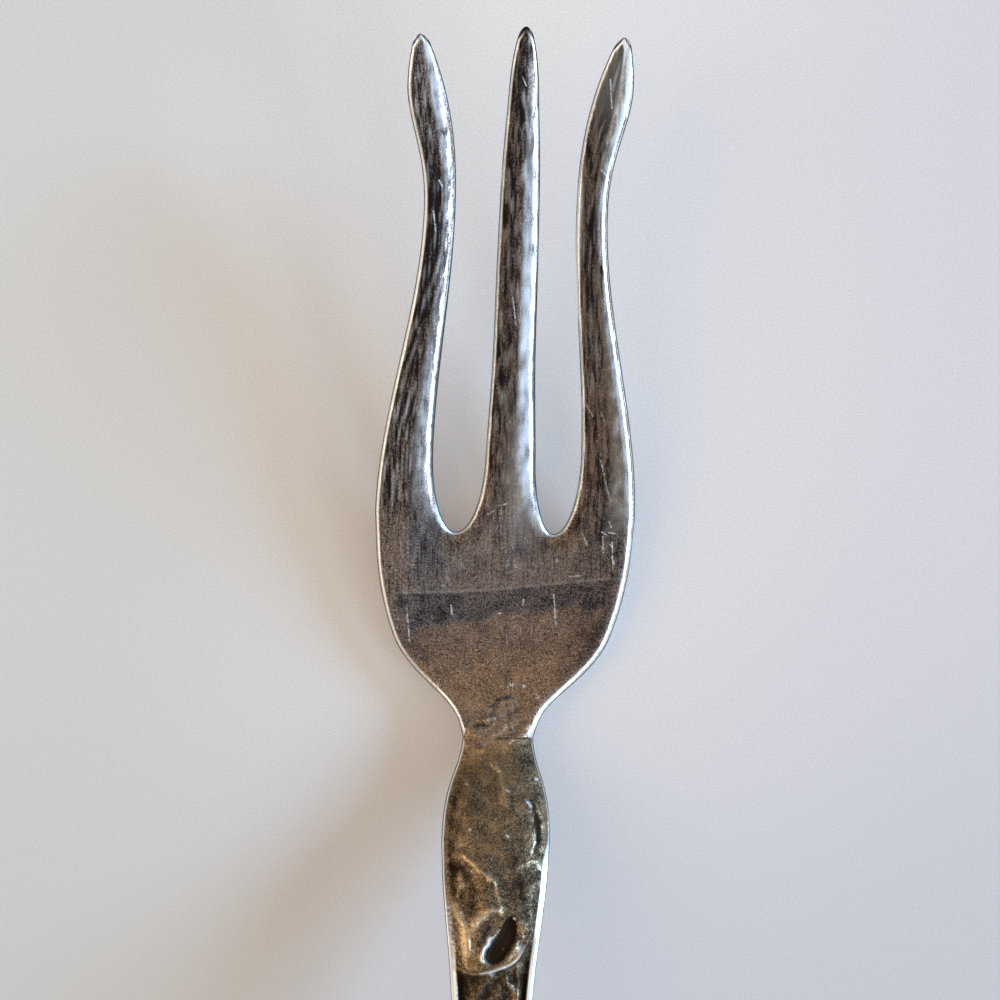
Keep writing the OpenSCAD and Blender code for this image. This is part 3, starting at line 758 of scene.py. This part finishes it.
def rims(b, inside):
    """Raised rim and channel along the edge."""
    raised = ease(inside / 0.12) * ease((0.62 - inside) / 0.16 + 0.5)
    channel = np.exp(-((inside - 0.88) / 0.22) ** 2)
    return ease((b - 17) / 3) * (0.08 * raised - 0.3 * channel)


GOLDEN_LINES = [
    (0.7, 0.2, [(-0.4, 2.0), (0.2, 2.9), (0.5, 4.4), (0.7, 6)]),
    (1.7, 0.15, [(-2.8, 9.8), (-2.3, 10.2), (-1.3, 11.0), (-0.4, 11.7), (0.2, 12.8), (0.4, 14.2)]),
    (1.5, 0.26, [(0.9, 14.5), (-0.2, 14.4), (-1.0, 14.9), (-1.6, 15.6), (-2.1, 16.6)]),
    (1.5, 0.32, [(-3.5, 13.5), (-3.1, 14.5), (-2.6, 15.6), (-2.3, 17.0), (-2.15, 18.8)]),
    (1.2, 0.2, [(-3.0, 11.1), (-2.85, 12.4), (-3.05, 13.5)]),
    (0.7, 0.15, [(3.2, 5.6), (3.8, 6.7), (3.95, 7.8), (3.9, 9.6)]),
    (0.6, 0.15, [(3.9, 11.0), (3.7, 10.5), (3.1, 10.25), (2.2, 10.6), (1.4, 10.95)]),
]


def handle_marks(x, b, inside, relief, front):
    """Patina of the handle: gold on what stands up, dirt in what lies deep, with painted highlights along the rims and
    lips, painted glint specks and a painted dark outline.
    """
    height = np.clip(relief / 0.3, -1.6, 1)
    wx, wb = x + 0.1 * ripple(x, b, 23, 1.3), b + 0.1 * ripple(x, b, 24, 1.3)
    near = front * ease((27 - b) / 4)
    gold = 0.2 + 0.1 * ripple(x, b, 21, 1.6) + 0.5 * np.maximum(height, 0)
    gold += near * 0.6 * spot(wx, wb, -2.2, 0.8, 0.9, 2.8)
    gold += near * (0.3 * spot(wx, wb, -0.3, 13, 0.8, 1.2) + 0.3 * spot(wx, wb, 3.0, 12.5, 0.8, 3))
    grey = near * (0.3 * spot(wx, wb, 2.6, 10.7, 0.9, 0.5) + 0.9 * spot(wx, wb, -0.6, 16.7, 0.7, 1.4))
    dark = 0.15 + 0.12 * ripple(x, b, 22, 1.9, 24) + 0.07 * ripple(x, b, 26, 0.8, 30) + 0.35 * np.maximum(-height - 0.1, 0)
    dark += near * (0.3 * spot(wx, wb, -0.2, 13, 0.9, 1.6) + 0.25 * spot(wx, wb, -0.4, 16.6, 0.8, 1.6))
    dark += 0.35 * np.exp(-((inside - 0.75) / 0.4) ** 2) * ease((b - 2) / 3)
    far = front * ease((b - 25) / 3) * ease((inside - 0.7) / 0.3)
    raised = ease(relief / 0.08)
    gold += far * 0.5 * raised
    dark += far * 0.35 * (1 - raised)
    dark += near * (0.25 * spot(wx, wb, -1.6, 5, 1.8, 2.2) + 0.5 * spot(wx, wb, 1.9, 13.2, 1.5, 3))
    dark += near * (0.22 * spot(wx, wb, 0.3, 10, 2.2, 3) + 0.3 * ease((b - 19) / 1) + 0.3 * spot(wx, wb, 2.6, 7, 1.3, 3))
    dark += near * 0.45 * stroke(x, b, [(2.8, 5.4), (3.25, 6.2), (3.45, 7.2), (3.5, 8.4), (3.25, 9.6)], 0.13)
    dark += near * (0.2 * spot(wx, wb, 3.0, 12.5, 0.9, 3) + 0.8 * spot(wx, wb, 2.4, 1.0, 1.0, 1.5))
    dark += near * 0.2 * stroke(wx, wb, [(-3.5, 10.6), (-2.5, 11.4), (-1.8, 12.8), (-1.9, 14.4), (-2.3, 15.0)], 0.35)
    for strength, width, points in GOLDEN_LINES:
        line = near * strength * stroke(wx, wb, points, width)
        gold += line
        dark -= 0.35 * line
    dark += near * (0.4 * spot(wx, wb, -0.7, 16.9, 0.6, 1.4) + 0.75 * patch(x, b, SCROLL_HOLLOW, 0.25) * (1 + 0.4 * ripple(x, b, 27, 0.5, 20)))
    dark += near * 0.8 * stroke(wx, wb, [(-0.4, 0.05), (0.5, 0.1), (1.5, 0.0)], 0.12)
    right = np.where(x > 0, inside, HEAD_W)
    left = np.where(x < 0, inside, HEAD_W)
    dark -= near * 0.25 * ease((2.5 - b) / 2.5)
    gold += near * 0.5 * ease((2.5 - b) / 2.5)
    # Worn rims with a painted highlight on them: a band along the right edge that widens behind the bulb, a thin line
    # along the left edge, and the raised rims further back
    worn = rim(right, 0.2 + 0.28 * ease((b - 8) / 3)) * ease((b - 7) / 5) + 0.5 * rim(right, 0.12, 0.1)
    worn += 0.95 * rim(left, 0.2, 0.1) + 0.3 * rim(left, 0.4) * ease((b - 14) / 4)
    worn += 0.8 * ease((b - 17) / 3) * rim(inside, 0.55, 0.16) + 0.2 * np.maximum(height - 0.6, 0)
    # Painted highlights on the lips of the scroll, on a short arc by the right groove and along the left rim
    worn += near * stroke(wx, wb, [(0.1, 16.65), (-0.4, 17.0), (-0.75, 17.5), (-0.9, 18.2), (-0.8, 18.8)], 0.14)
    worn += near * 0.8 * stroke(wx, wb, [(2.6, 17.2), (1.9, 18.4), (1.0, 19.15), (-0.3, 19.55), (-1.2, 19.75)], 0.15)
    worn += near * 0.6 * stroke(x, b, [(2.5, 5.25), (2.75, 5.45), (2.95, 5.8)], 0.1)
    worn += near * 0.5 * rim(left, 0.55, 0.3) * ease((b - 13) / 2) * (0.7 + 0.6 * ripple(x, b, 25, 0.5))
    # Painted glints: small bright specks
    for cx, cb in [(-2.2, 7.7), (0.86, 4.4), (1.03, 8.2), (3.3, 8.65), (1.7, 15.0), (3.25, 3.4), (-2.5, 3.95)]:
        worn += near * spot(x, b, cx, cb, 0.08)
    # Painted dark outline along the edge, standing for the shade under it
    outline = rim(inside, 0.08, 0.05)
    worn *= 1 - 0.9 * outline
    dark += 0.7 * outline
    return {"gold": gold, "grey": grey, "dark": dark, "worn": worn, "polish": 0.35 * ease((b - 24) / 4),
            "front": front + 0 * b}


def shell_faces(outer_rows, outer_n, inner_n):
    """Faces of a half shell, closed at its end: outer rows from the mouth, then one inner row fewer."""
    inner_start = outer_rows * outer_n

    def out_row(i):
        return list(range(i * outer_n, (i + 1) * outer_n))

    def in_row(i):
        return list(range(inner_start + i * inner_n, inner_start + (i + 1) * inner_n))

    inner_rows = outer_rows - 1
    faces = []
    for i in range(outer_rows - 1):
        faces += ladder(out_row(i), out_row(i + 1))
    for i in range(inner_rows - 1):
        faces += ladder(in_row(i + 1), in_row(i))
        for o, n in ((0, 0), (outer_n - 1, inner_n - 1)):
            side = [out_row(i)[o], out_row(i + 1)[o], in_row(i + 1)[n], in_row(i)[n]]
            faces.append(tuple(side if o == 0 else side[::-1]))
    faces += stitch(in_row(0), out_row(0))
    last_out, before, last_in = out_row(outer_rows - 1), out_row(outer_rows - 2), in_row(inner_rows - 1)
    faces.append(tuple(last_out))
    faces.append(tuple(last_in[::-1]))
    faces.append((last_out[0], last_out[-1], before[-1], last_in[-1], last_in[0], before[0]))
    return faces


def make_shell(name, node, places, heights, power, columns, front, material):
    side = 1 if front else -1
    outer = []
    for b in places:
        half_w = float(handle_size(WIDTHS, b)) / 2
        half_h = float(handle_size(heights, b))
        x, z = section(half_w, half_h, power, columns)
        if front:
            z = blend(z, bevel(x, z, b, half_w, half_h, power), ease(b / 2))
        outer.append(np.stack([x, np.full(x.shape, b), side * z], -1))
    outer = np.array(outer)
    x, b = outer[..., 0], outer[..., 1]
    inside = inset(x, b)
    relief = np.zeros(x.shape)
    if front:
        near = b < 27
        relief = np.where(near, bulb_relief(x, b) * ease((21 - b) / 2) + shaft_relief(x, b), 0) + stem_relief(x, b)
        relief *= ease(inside / 0.75 - 0.25)
        outer[..., 2] += relief + rims(b, inside)
    inner = []
    for place in places[:-1]:
        place = min(place, HANDLE_L - WALL)
        half_w = float(handle_size(WIDTHS, place)) / 2 - WALL
        x_in, z_in = section(half_w, float(handle_size(heights, place)) - 1.6 * WALL, 2, HOLLOW_COLUMNS)
        inner.append(np.stack([x_in, np.full(x_in.shape, place), side * z_in], -1))
    points = np.concatenate([outer.reshape(-1, 3), np.array(inner).reshape(-1, 3)])
    lowest = np.zeros(len(points))
    lowest[outer[..., 0].size:] = WALL
    height = spine(-points[:, 1]) + points[:, 2]
    placed = np.stack([points[:, 0], SEAM_Y - points[:, 1], np.maximum(height, lowest)], -1)
    faces = shell_faces(len(places), columns + 1, HOLLOW_COLUMNS + 1)
    if not front:
        faces = [tuple(f[::-1]) for f in faces]
    marks = handle_marks(x.ravel(), b.ravel(), inside.ravel(), relief.ravel(), float(front))
    hidden = len(points) - x.size
    marks = {k: np.concatenate([v, np.zeros(hidden)]) for k, v in marks.items()}
    return make_piece(name, placed, faces, marks, node, material)


# Solder at the neck

SOLDER_RINGS = 44
SOLDER_STEPS = 120
SOLDER_MIDDLE = (-0.05, 1.65)
SOLDER_REACH = [
    (-180, 2.1), (-160, 2.8), (-143, 3.45), (-125, 3.2), (-108, 2.7), (-95, 1.75), (-82, 1.56), (-60, 1.6), (-35, 1.9),
    (0, 1.9), (30, 2.0), (48, 2.35), (75, 1.95), (100, 1.45), (125, 1.15), (150, 1.5), (180, 2.1),
]


def neck_top(x, s):
    """Height of the front of the neck beside the seam."""
    behind = np.maximum(-s, 0)
    half_w = handle_size(WIDTHS, behind) / 2
    rear = spine(s) + handle_size(FRONTS, behind) * (1 - np.minimum(np.abs(x) / half_w, 1) ** FRONT_BOX) ** (1 / FRONT_BOX)
    left = np.maximum(outer_edge(s) + x - bend(s), 0)
    right = np.maximum(outer_edge(s) - x + bend(s), 0)
    edges = np.stack([left, right, HEAD_W + 0 * x, HEAD_W + 0 * x])
    middle, over, _ = head_section(x, s, edges)
    return np.where(s < 0, rear, middle + over + lift(x, s) + waves(x, s, edges))


def make_solder(material):
    """A low uneven lump that thins out to its edge, with a ridge and a pit on its left."""
    angles = np.linspace(-180, 180, SOLDER_STEPS, endpoint=False)
    reach = curve(SOLDER_REACH, angles)
    share = 1 - (1 - np.linspace(0.02, 1, SOLDER_RINGS)[:, None]) ** 2
    x = SOLDER_MIDDLE[0] + share * reach * np.cos(np.radians(angles))
    s = SOLDER_MIDDLE[1] + share * reach * np.sin(np.radians(angles))
    feather = ease((1 - share) * 1.5)
    lump = 0.06 + 0.035 * ripple(x, s, 31, 1.5) + 0.014 * ripple(x, s, 34, 0.7, 24)
    lump += 0.14 * spot(x, s, 0.4, 0.95, 0.8, 0.45) + 0.12 * stroke(x, s, [(-1.3, 1.35), (-0.8, 1.5), (-0.2, 1.6)], 0.17)
    lump += 0.07 * stroke(x, s, [(-1.0, 2.4), (-0.35, 2.45), (0.0, 2.9), (0.6, 3.1), (1.4, 3.1)], 0.22)
    lump -= 0.17 * spot(x, s, -1.4, 1.05, 0.4, 0.22)
    top = np.stack([x, SEAM_Y + s, neck_top(x, s) + 0.008 + np.maximum(lump, 0.01) * feather], -1)
    under = np.stack([x, SEAM_Y + s, neck_top(x, s) + 0.004 + 0 * lump], -1)
    points = np.concatenate([under.reshape(-1, 3), top[::-1].reshape(-1, 3)])
    faces = [tuple(range(SOLDER_STEPS))[::-1]]
    for i in range(2 * SOLDER_RINGS - 1):
        row = list(range(i * SOLDER_STEPS, (i + 1) * SOLDER_STEPS))
        faces += ladder(loop(row), loop([j + SOLDER_STEPS for j in row]))
    final = (2 * SOLDER_RINGS - 1) * SOLDER_STEPS
    faces.append(tuple(range(final, final + SOLDER_STEPS)))
    x, s = points[:, 0], points[:, 1] - SEAM_Y
    # Painted shadow along the solder's upper edge, and a second dark line lower on its right
    crease = stroke(x, s, [(-1.15, 2.6), (-0.4, 2.7), (-0.1, 3.1), (0.5, 3.3), (1.5, 3.25)], 0.2)
    crease += stroke(x, s, [(0.7, 1.9), (1.3, 2.1), (1.8, 2.5)], 0.2)
    marks = {
        "gold": 0.6 + 0.12 * ripple(x, s, 32, 0.9) + 0.4 * spot(x, s, 0.4, 0.95, 0.9, 0.5),
        "grey": 0 * x,
        "dark": 0.05 + 0.15 * ripple(x, s, 33, 0.9) + 0.8 * spot(x, s, -1.4, 1.05, 0.5, 0.22) + 0.55 * crease,
        # Painted highlight along the ridge above the pit
        "worn": 0.25 * stroke(x, s, [(-1.3, 1.4), (-0.8, 1.55), (-0.2, 1.65)], 0.1),
        "polish": 0 * x,
        "front": 1 + 0 * x,
    }
    return make_piece("neck_lumps", points, faces, marks, "neck_solder", material)


# Materials

def srgb(red, green, blue):
    """Linear colour from screen values of 0 to 255."""
    out = []
    for value in (red, green, blue):
        v = value / 255
        out.append(v / 12.92 if v <= 0.04045 else ((v + 0.055) / 1.055) ** 2.4)
    return (*out, 1)


class Nodes:
    """Short ways to add nodes to one material or world."""

    def __init__(self, tree):
        self.tree = tree
        self.tree.nodes.clear()

    def add(self, kind, settings=None, **inputs):
        node = self.tree.nodes.new(kind)
        for key, value in (settings or {}).items():
            setattr(node, key, value)
        for key, value in inputs.items():
            self.put(node.inputs[key.replace("_", " ")], value)
        return node

    def put(self, socket, value):
        if isinstance(value, bpy.types.NodeSocket):
            self.tree.links.new(value, socket)
        else:
            socket.default_value = value

    def math(self, operation, a, b=0.0, clamp=False):
        node = self.tree.nodes.new("ShaderNodeMath")
        node.operation = operation
        node.use_clamp = clamp
        self.put(node.inputs[0], a)
        self.put(node.inputs[1], b)
        return node.outputs[0]

    def mix(self, share, a, b):
        node = self.tree.nodes.new("ShaderNodeMix")
        node.data_type = "RGBA"
        node.clamp_factor = True
        self.put(node.inputs[0], share)
        self.put(node.inputs[6], a)
        self.put(node.inputs[7], b)
        return node.outputs[2]

    def noise(self, vector, scale, detail=3.0, rough=0.55):
        return self.add("ShaderNodeTexNoise", None, Vector=vector, Scale=scale, Detail=detail, Roughness=rough).outputs["Fac"]

    def ramp(self, value, low, high):
        return self.add(
            "ShaderNodeMapRange", {"interpolation_type": "SMOOTHSTEP"}, Value=value, From_Min=low, From_Max=high
        ).outputs["Result"]

    def vector(self, operation, a, b=(0, 0, 0), scale=1.0, output="Vector"):
        node = self.add("ShaderNodeVectorMath", {"operation": operation})
        for socket, value in zip(node.inputs, (a, b, (0, 0, 0), scale)):
            self.put(socket, value)
        return node.outputs[output]

    def line(self, place, start, end, width):
        """1 on a straight line from start to end on the floor plan, 0 beyond its width."""
        run = [e - s for s, e in zip(start, end)]
        length = math.hypot(*run)
        from_start = self.vector("SUBTRACT", place, (*start, 0))
        share = self.vector("DOT_PRODUCT", from_start, (run[0] / length ** 2, run[1] / length ** 2, 0), output="Value")
        nearest = self.vector("SCALE", (*run, 0), scale=self.math("ADD", share, 0.0, clamp=True))
        away = self.vector("DISTANCE", from_start, nearest, output="Value")
        return self.ramp(away, width, width * 0.3)

    def stretched(self, vector, scale):
        return self.add("ShaderNodeMapping", None, Vector=vector, Scale=scale).outputs["Vector"]


# Scratches on the head; the shortest ones are white specks that paint glints
HEAD_SCRATCHES = [
    ((8.0, 27.4), (8.4, 26.4)), ((8.1, 23.4), (8.7, 20.9)), ((8.7, 20.9), (9.0, 20.0)), ((6.8, 28.0), (7.3, 27.1)),
    ((8.1, 55.2), (8.3, 52.8)), ((0.8, 55.2), (1.1, 54.5)), ((-6.0, 46.5), (-5.7, 46.0)), ((7.5, 47.7), (8.1, 47.1)),
    ((-1.3, 18.7), (-0.7, 19.0)), ((-0.4, 19.4), (0.3, 19.6)), ((4.4, 12.1), (4.65, 9.4)), ((8.4, 17.0), (8.5, 15.6)),
    ((9.2, 16.6), (9.3, 14.3)), ((6.7, 17.2), (7.1, 16.3)), ((-7.9, 10.6), (-7.6, 7.9)), ((-4.2, 11.0), (-4.1, 10.2)),
    ((1.9, 11.6), (1.8, 11.1)), ((0.4, 36.9), (0.7, 34.6)), ((-6.4, 43.9), (-6.2, 42.3)), ((1.1, 14.5), (1.2, 14.3)),
    ((-0.2, 10.4), (0.0, 10.4)), ((0.9, 4.5), (1.0, 4.3)), ((2.0, 4.4), (2.2, 4.3)), ((5.6, 13.6), (6.6, 13.7)),
    ((8.9, 17.4), (9.4, 17.3)), ((9.0, 16.4), (9.3, 16.1)), ((9.2, 15.3), (9.4, 14.8)), ((8.3, 17.4), (8.7, 17.2)),
    ((8.3, 16.2), (8.55, 15.9)), ((8.9, 18.3), (9.1, 17.8)),
]
# Scratches and white specks on the handle; the specks are painted glints
HANDLE_SCRATCHES_AND_GLINTS = [
    ((1.0, -0.5), (1.3, -0.2)), ((1.0, -4.4), (1.05, -4.5)), ((-2.1, -7.7), (-2.2, -7.7)),
    ((0.9, -8.1), (0.95, -8.2)), ((3.4, -3.4), (3.45, -3.5)), ((1.7, -15.0), (1.8, -15.1)),
]


def worn_silver(name, brown, golden, grey, light, dark, bright, rough, bump, strokes=()):
    """Tarnished silver plate: the marks choose the colour, painted highlights and shade among them, and fine noise,
    painted glints and scratches break it up.
    """
    material = bpy.data.materials.new(name)
    material.use_nodes = True
    n = Nodes(material.node_tree)
    at = n.add("ShaderNodeTexCoord").outputs["Object"]

    def mark(label):
        return n.add("ShaderNodeAttribute", {"attribute_name": label}).outputs["Fac"]

    def swing(value, amount):
        return n.math("MULTIPLY", n.math("SUBTRACT", value, 0.5), amount)

    def times(value, amount):
        return n.math("MULTIPLY", value, amount)

    def total(*values):
        out = values[0]
        for value in values[1:]:
            out = n.math("ADD", out, value)
        return out

    clouds = n.noise(at, 420, 4)
    stains = n.noise(at, 1500, 4, 0.65)
    grain = n.ramp(n.noise(at, 3600, 3, 0.7), 0.36, 0.64)
    flecks = n.noise(at, 4200, 4, 0.9)
    sand = n.noise(at, 9000, 2, 0.8)
    streaks = n.noise(n.stretched(at, (4200, 420, 420)), 1.0, 4, 0.75)
    scratches = n.ramp(n.noise(n.stretched(at, (9000, 500, 400)), 1.0, 2), 0.69, 0.77)
    cross = n.ramp(n.noise(n.stretched(at, (900, 7000, 400)), 1.0, 2), 0.7, 0.78)
    scuffs = n.math("MAXIMUM", scratches, times(cross, 0.6))
    glints = n.ramp(n.noise(at, 6800, 2, 0.6), 0.68, 0.76)
    polish = mark("polish")
    on_plan = n.vector("MULTIPLY", at, (1, 1, 0))
    cuts = 0.0
    for start, end in strokes:
        ends = [(x * MM, (SEAM_Y + s) * MM) for x, s in (start, end)]
        cuts = n.math("MAXIMUM", n.line(on_plan, *ends, 0.09 * MM), cuts)

    golden_share = total(mark("gold"), swing(clouds, 0.6), swing(stains, 0.4))
    grey_share = total(mark("grey"), swing(stains, 0.3))
    dark_share = total(
        mark("dark"), swing(clouds, 0.4), swing(stains, 0.6), swing(grain, 0.2), times(n.ramp(flecks, 0.5, 0.38), 0.45),
        times(n.ramp(sand, 0.5, 0.4), 0.6),
        times(n.ramp(streaks, 0.5, 0.38), total(0.1, times(polish, 1.2))),
    )
    light_share = total(
        times(n.ramp(flecks, 0.5, 0.62), 0.4), times(n.ramp(sand, 0.5, 0.6), 0.5), times(n.ramp(streaks, 0.52, 0.64), total(0.1, times(polish, 0.8))),
        times(n.ramp(golden_share, 0.8, 1.6), 0.7),
    )
    clean = n.math("SUBTRACT", 1.0, dark_share, clamp=True)
    # Painted glints, worn scuffs and the worn mark with its painted highlights lighten the colour towards the bright
    # colour
    wear_and_highlight_share = times(total(times(scuffs, 0.3), times(glints, total(0.7, times(polish, 0.5)))), clean)
    if strokes:
        cuts = times(cuts, n.ramp(flecks, 0.4, 0.55))
        wear_and_highlight_share = total(wear_and_highlight_share, times(times(cuts, mark("front")), 0.85))
    wear_and_highlight_share = n.math("ADD", mark("worn"), wear_and_highlight_share, clamp=True)
    colour = n.mix(golden_share, brown, golden)
    colour = n.mix(grey_share, colour, grey)
    colour = n.mix(light_share, colour, light)
    colour = n.mix(dark_share, colour, dark)
    colour = n.mix(wear_and_highlight_share, colour, bright)

    dirt = n.ramp(dark_share, 0.2, 1.2)
    roughness = total(rough, swing(grain, 0.1), times(polish, -0.17), times(wear_and_highlight_share, -0.1), times(dirt, 0.25))
    metal = n.math("SUBTRACT", 1.0, times(dirt, 0.6))
    gloss = n.math("SUBTRACT", 0.5, times(dirt, 0.4))
    height = total(times(stains, 0.8), times(grain, 0.22), times(flecks, 0.3), times(scuffs, -0.3), times(glints, 0.3))
    height = times(height, n.math("SUBTRACT", 1.0, times(polish, 0.5)))
    relief = n.add("ShaderNodeBump", None, Strength=bump, Distance=0.00005, Height=height).outputs["Normal"]
    shader = n.add(
        "ShaderNodeBsdfPrincipled", None,
        Base_Color=colour, Metallic=metal, Roughness=roughness, Specular_IOR_Level=gloss, Normal=relief,
    )
    n.add("ShaderNodeOutputMaterial", None, Surface=shader.outputs[0])
    return material


def cement():
    """Brown resin cement with dull grains."""
    material = bpy.data.materials.new("resin_cement")
    material.use_nodes = True
    n = Nodes(material.node_tree)
    at = n.add("ShaderNodeTexCoord").outputs["Object"]
    grain = n.noise(at, 1800, 5)
    colour = n.mix(n.ramp(grain, 0.35, 0.7), srgb(58, 42, 30), srgb(110, 84, 60))
    relief = n.add("ShaderNodeBump", None, Strength=0.4, Distance=0.0001, Height=grain).outputs["Normal"]
    roughness = n.math("ADD", 0.6, n.math("MULTIPLY", grain, 0.25))
    shader = n.add("ShaderNodeBsdfPrincipled", None, Base_Color=colour, Roughness=roughness, Normal=relief)
    n.add("ShaderNodeOutputMaterial", None, Surface=shader.outputs[0])
    return material


# Floor, light and camera

def make_floor():
    """A pale table top, its colour painted with the fall of the light: a little darker and warmer towards the front,
    cooler on the window's side.
    """
    size = 5.0
    mesh = bpy.data.meshes.new("floor")
    mesh.from_pydata([(-size, -size, 0), (size, -size, 0), (size, size, 0), (-size, size, 0)], [], [(0, 1, 2, 3)])
    floor = bpy.data.objects.new("floor", mesh)
    bpy.context.scene.collection.objects.link(floor)
    material = bpy.data.materials.new("pale_table")
    material.use_nodes = True
    n = Nodes(material.node_tree)
    at = n.add("ShaderNodeTexCoord").outputs["Object"]
    place = n.add("ShaderNodeSeparateXYZ", None, Vector=at)
    # Painted light falloff: darker towards the front and the left, and a little darker again far to the right
    across = n.ramp(place.outputs["X"], -0.036, 0.004)
    right = n.ramp(place.outputs["X"], 0.0, 0.045)
    along = n.ramp(place.outputs["Y"], -0.025, 0.06)
    front = n.mix(across, srgb(209, 200, 191), srgb(212, 206, 206))
    front = n.mix(right, front, srgb(203, 198, 201))
    back = n.mix(across, srgb(223, 213, 203), srgb(242, 232, 225))
    back = n.mix(right, back, srgb(226, 218, 217))
    colour = n.mix(along, front, back)
    grain = n.noise(at, 6500, 3, 0.7)
    colour = n.mix(n.math("MULTIPLY", n.ramp(grain, 0.35, 0.65), 0.26), colour, srgb(170, 162, 154))
    top = n.add("ShaderNodeBsdfPrincipled", None, Base_Color=colour, Roughness=0.6)
    glow = n.add("ShaderNodeEmission", None, Color=colour)
    path = n.add("ShaderNodeLightPath").outputs
    seen = n.math("MAXIMUM", path["Is Camera Ray"], path["Is Glossy Ray"])
    seen = n.math("MAXIMUM", seen, path["Is Transmission Ray"])
    both = n.tree.nodes.new("ShaderNodeMixShader")
    n.put(both.inputs[0], n.math("MULTIPLY", seen, 0.22))
    n.put(both.inputs[1], top.outputs[0])
    n.put(both.inputs[2], glow.outputs[0])
    n.add("ShaderNodeOutputMaterial", None, Surface=both.outputs[0])
    mesh.materials.append(material)


def sun(name, direction, angle, strength, colour):
    """Soft light from a direction, given as a vector towards it."""
    data = bpy.data.lights.new(name, "SUN")
    data.energy = strength
    data.angle = math.radians(angle)
    data.color = colour
    lamp = bpy.data.objects.new(name, data)
    lamp.rotation_euler = Vector(direction).to_track_quat("Z", "Y").to_euler()
    bpy.context.scene.collection.objects.link(lamp)


def towards(azimuth, elevation):
    """Direction with azimuth measured from +X towards +Y."""
    a, e = math.radians(azimuth), math.radians(elevation)
    return (math.cos(a) * math.cos(e), math.sin(a) * math.cos(e), math.sin(e))


def make_light():
    """A warm dim room, darker in front where the viewer stands, and a cool window on the right."""
    world = bpy.data.worlds.new("soft_room")
    world.use_nodes = True
    bpy.context.scene.world = world
    n = Nodes(world.node_tree)
    direction = n.add("ShaderNodeTexCoord").outputs["Generated"]
    up = n.add("ShaderNodeSeparateXYZ", None, Vector=direction).outputs["Z"]

    def facing(azimuth, elevation, low, high):
        node = n.add("ShaderNodeVectorMath", {"operation": "DOT_PRODUCT"})
        n.put(node.inputs[0], direction)
        n.put(node.inputs[1], towards(azimuth, elevation))
        return n.ramp(node.outputs["Value"], low, high)

    colour = n.mix(n.ramp(up, 0.02, 0.6), (0.12, 0.11, 0.1, 1), (0.58, 0.51, 0.42, 1))
    colour = n.mix(n.math("MULTIPLY", facing(-90, 40, 0.6, 1.0), 0.7), colour, (0.06, 0.05, 0.045, 1))
    colour = n.mix(facing(-45, 47, 0.88, 0.98), colour, (0.75, 0.98, 1.3, 1))
    colour = n.mix(facing(180, 6, 0.78, 0.95), colour, (1.5, 1.35, 1.1, 1))
    sky = n.add("ShaderNodeBackground", None, Color=colour, Strength=1.0)
    n.add("ShaderNodeOutputWorld", None, Surface=sky.outputs[0])
    sun("window_back", towards(24, 18), 22, 5.2, (0.32, 0.62, 1.0))
    sun("window_front", towards(-26, 32), 19, 0.65, (0.75, 0.88, 1.0))
    sun("room", towards(178, 48), 40, 0.55, (1.0, 0.82, 0.56))


def make_camera():
    distance_m = 2.0
    view_width = 0.084
    data = bpy.data.cameras.new("camera")
    data.sensor_width = 36
    data.lens = 36 * distance_m / view_width
    data.clip_end = 20
    camera = bpy.data.objects.new("camera", data)
    camera.location = (-0.00029, 0.0428, distance_m)
    camera.rotation_euler = (0, 0, math.radians(1.329))
    bpy.context.scene.collection.objects.link(camera)
    bpy.context.scene.camera = camera


def main():
    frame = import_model()
    # The bright colours also paint highlights, and the dark colours painted shade
    plain = worn_silver(
        "worn_silver_plate", srgb(135, 109, 98), srgb(160, 123, 86), srgb(142, 143, 152), srgb(206, 187, 170),
        srgb(34, 26, 24), srgb(246, 245, 244), 0.38, 0.5, HEAD_SCRATCHES,
    )
    ornate = worn_silver(
        "worn_silver_relief", srgb(142, 115, 90), srgb(204, 163, 114), srgb(130, 108, 108), srgb(212, 184, 146),
        srgb(40, 27, 14), srgb(244, 242, 240), 0.44, 0.6, HANDLE_SCRATCHES_AND_GLINTS,
    )
    lumps = worn_silver(
        "old_solder", srgb(144, 114, 94), srgb(182, 142, 106), srgb(150, 146, 140), srgb(206, 182, 158),
        srgb(34, 27, 22), srgb(228, 220, 208), 0.52, 0.6,
    )
    make_head(plain)
    near = np.arange(0, 23, 0.09)
    far = np.arange(23, HANDLE_L - 0.6, 0.3)
    places = np.concatenate([near, far, HANDLE_L - np.array([0.55, 0.45, 0.3, 0.18, 0.08, 0])])
    make_shell("handle_front", "handle_front_shell", places, FRONTS, FRONT_BOX, FRONT_COLUMNS, True, ornate)
    places = np.concatenate([np.arange(0, HANDLE_L - 1, 0.5), HANDLE_L - np.array([0.9, 0.6, 0.45, 0.3, 0.15, 0])])
    make_shell("handle_back", "handle_back_shell", places, REARS, REAR_BOX, REAR_COLUMNS, False, plain)
    make_solder(lumps)
    filling = frame["nodes"]["handle_filling"]
    filling.data.materials[0] = cement()
    make_floor()
    make_light()
    make_camera()
    bpy.context.scene.view_settings.view_transform = "Standard"


main()
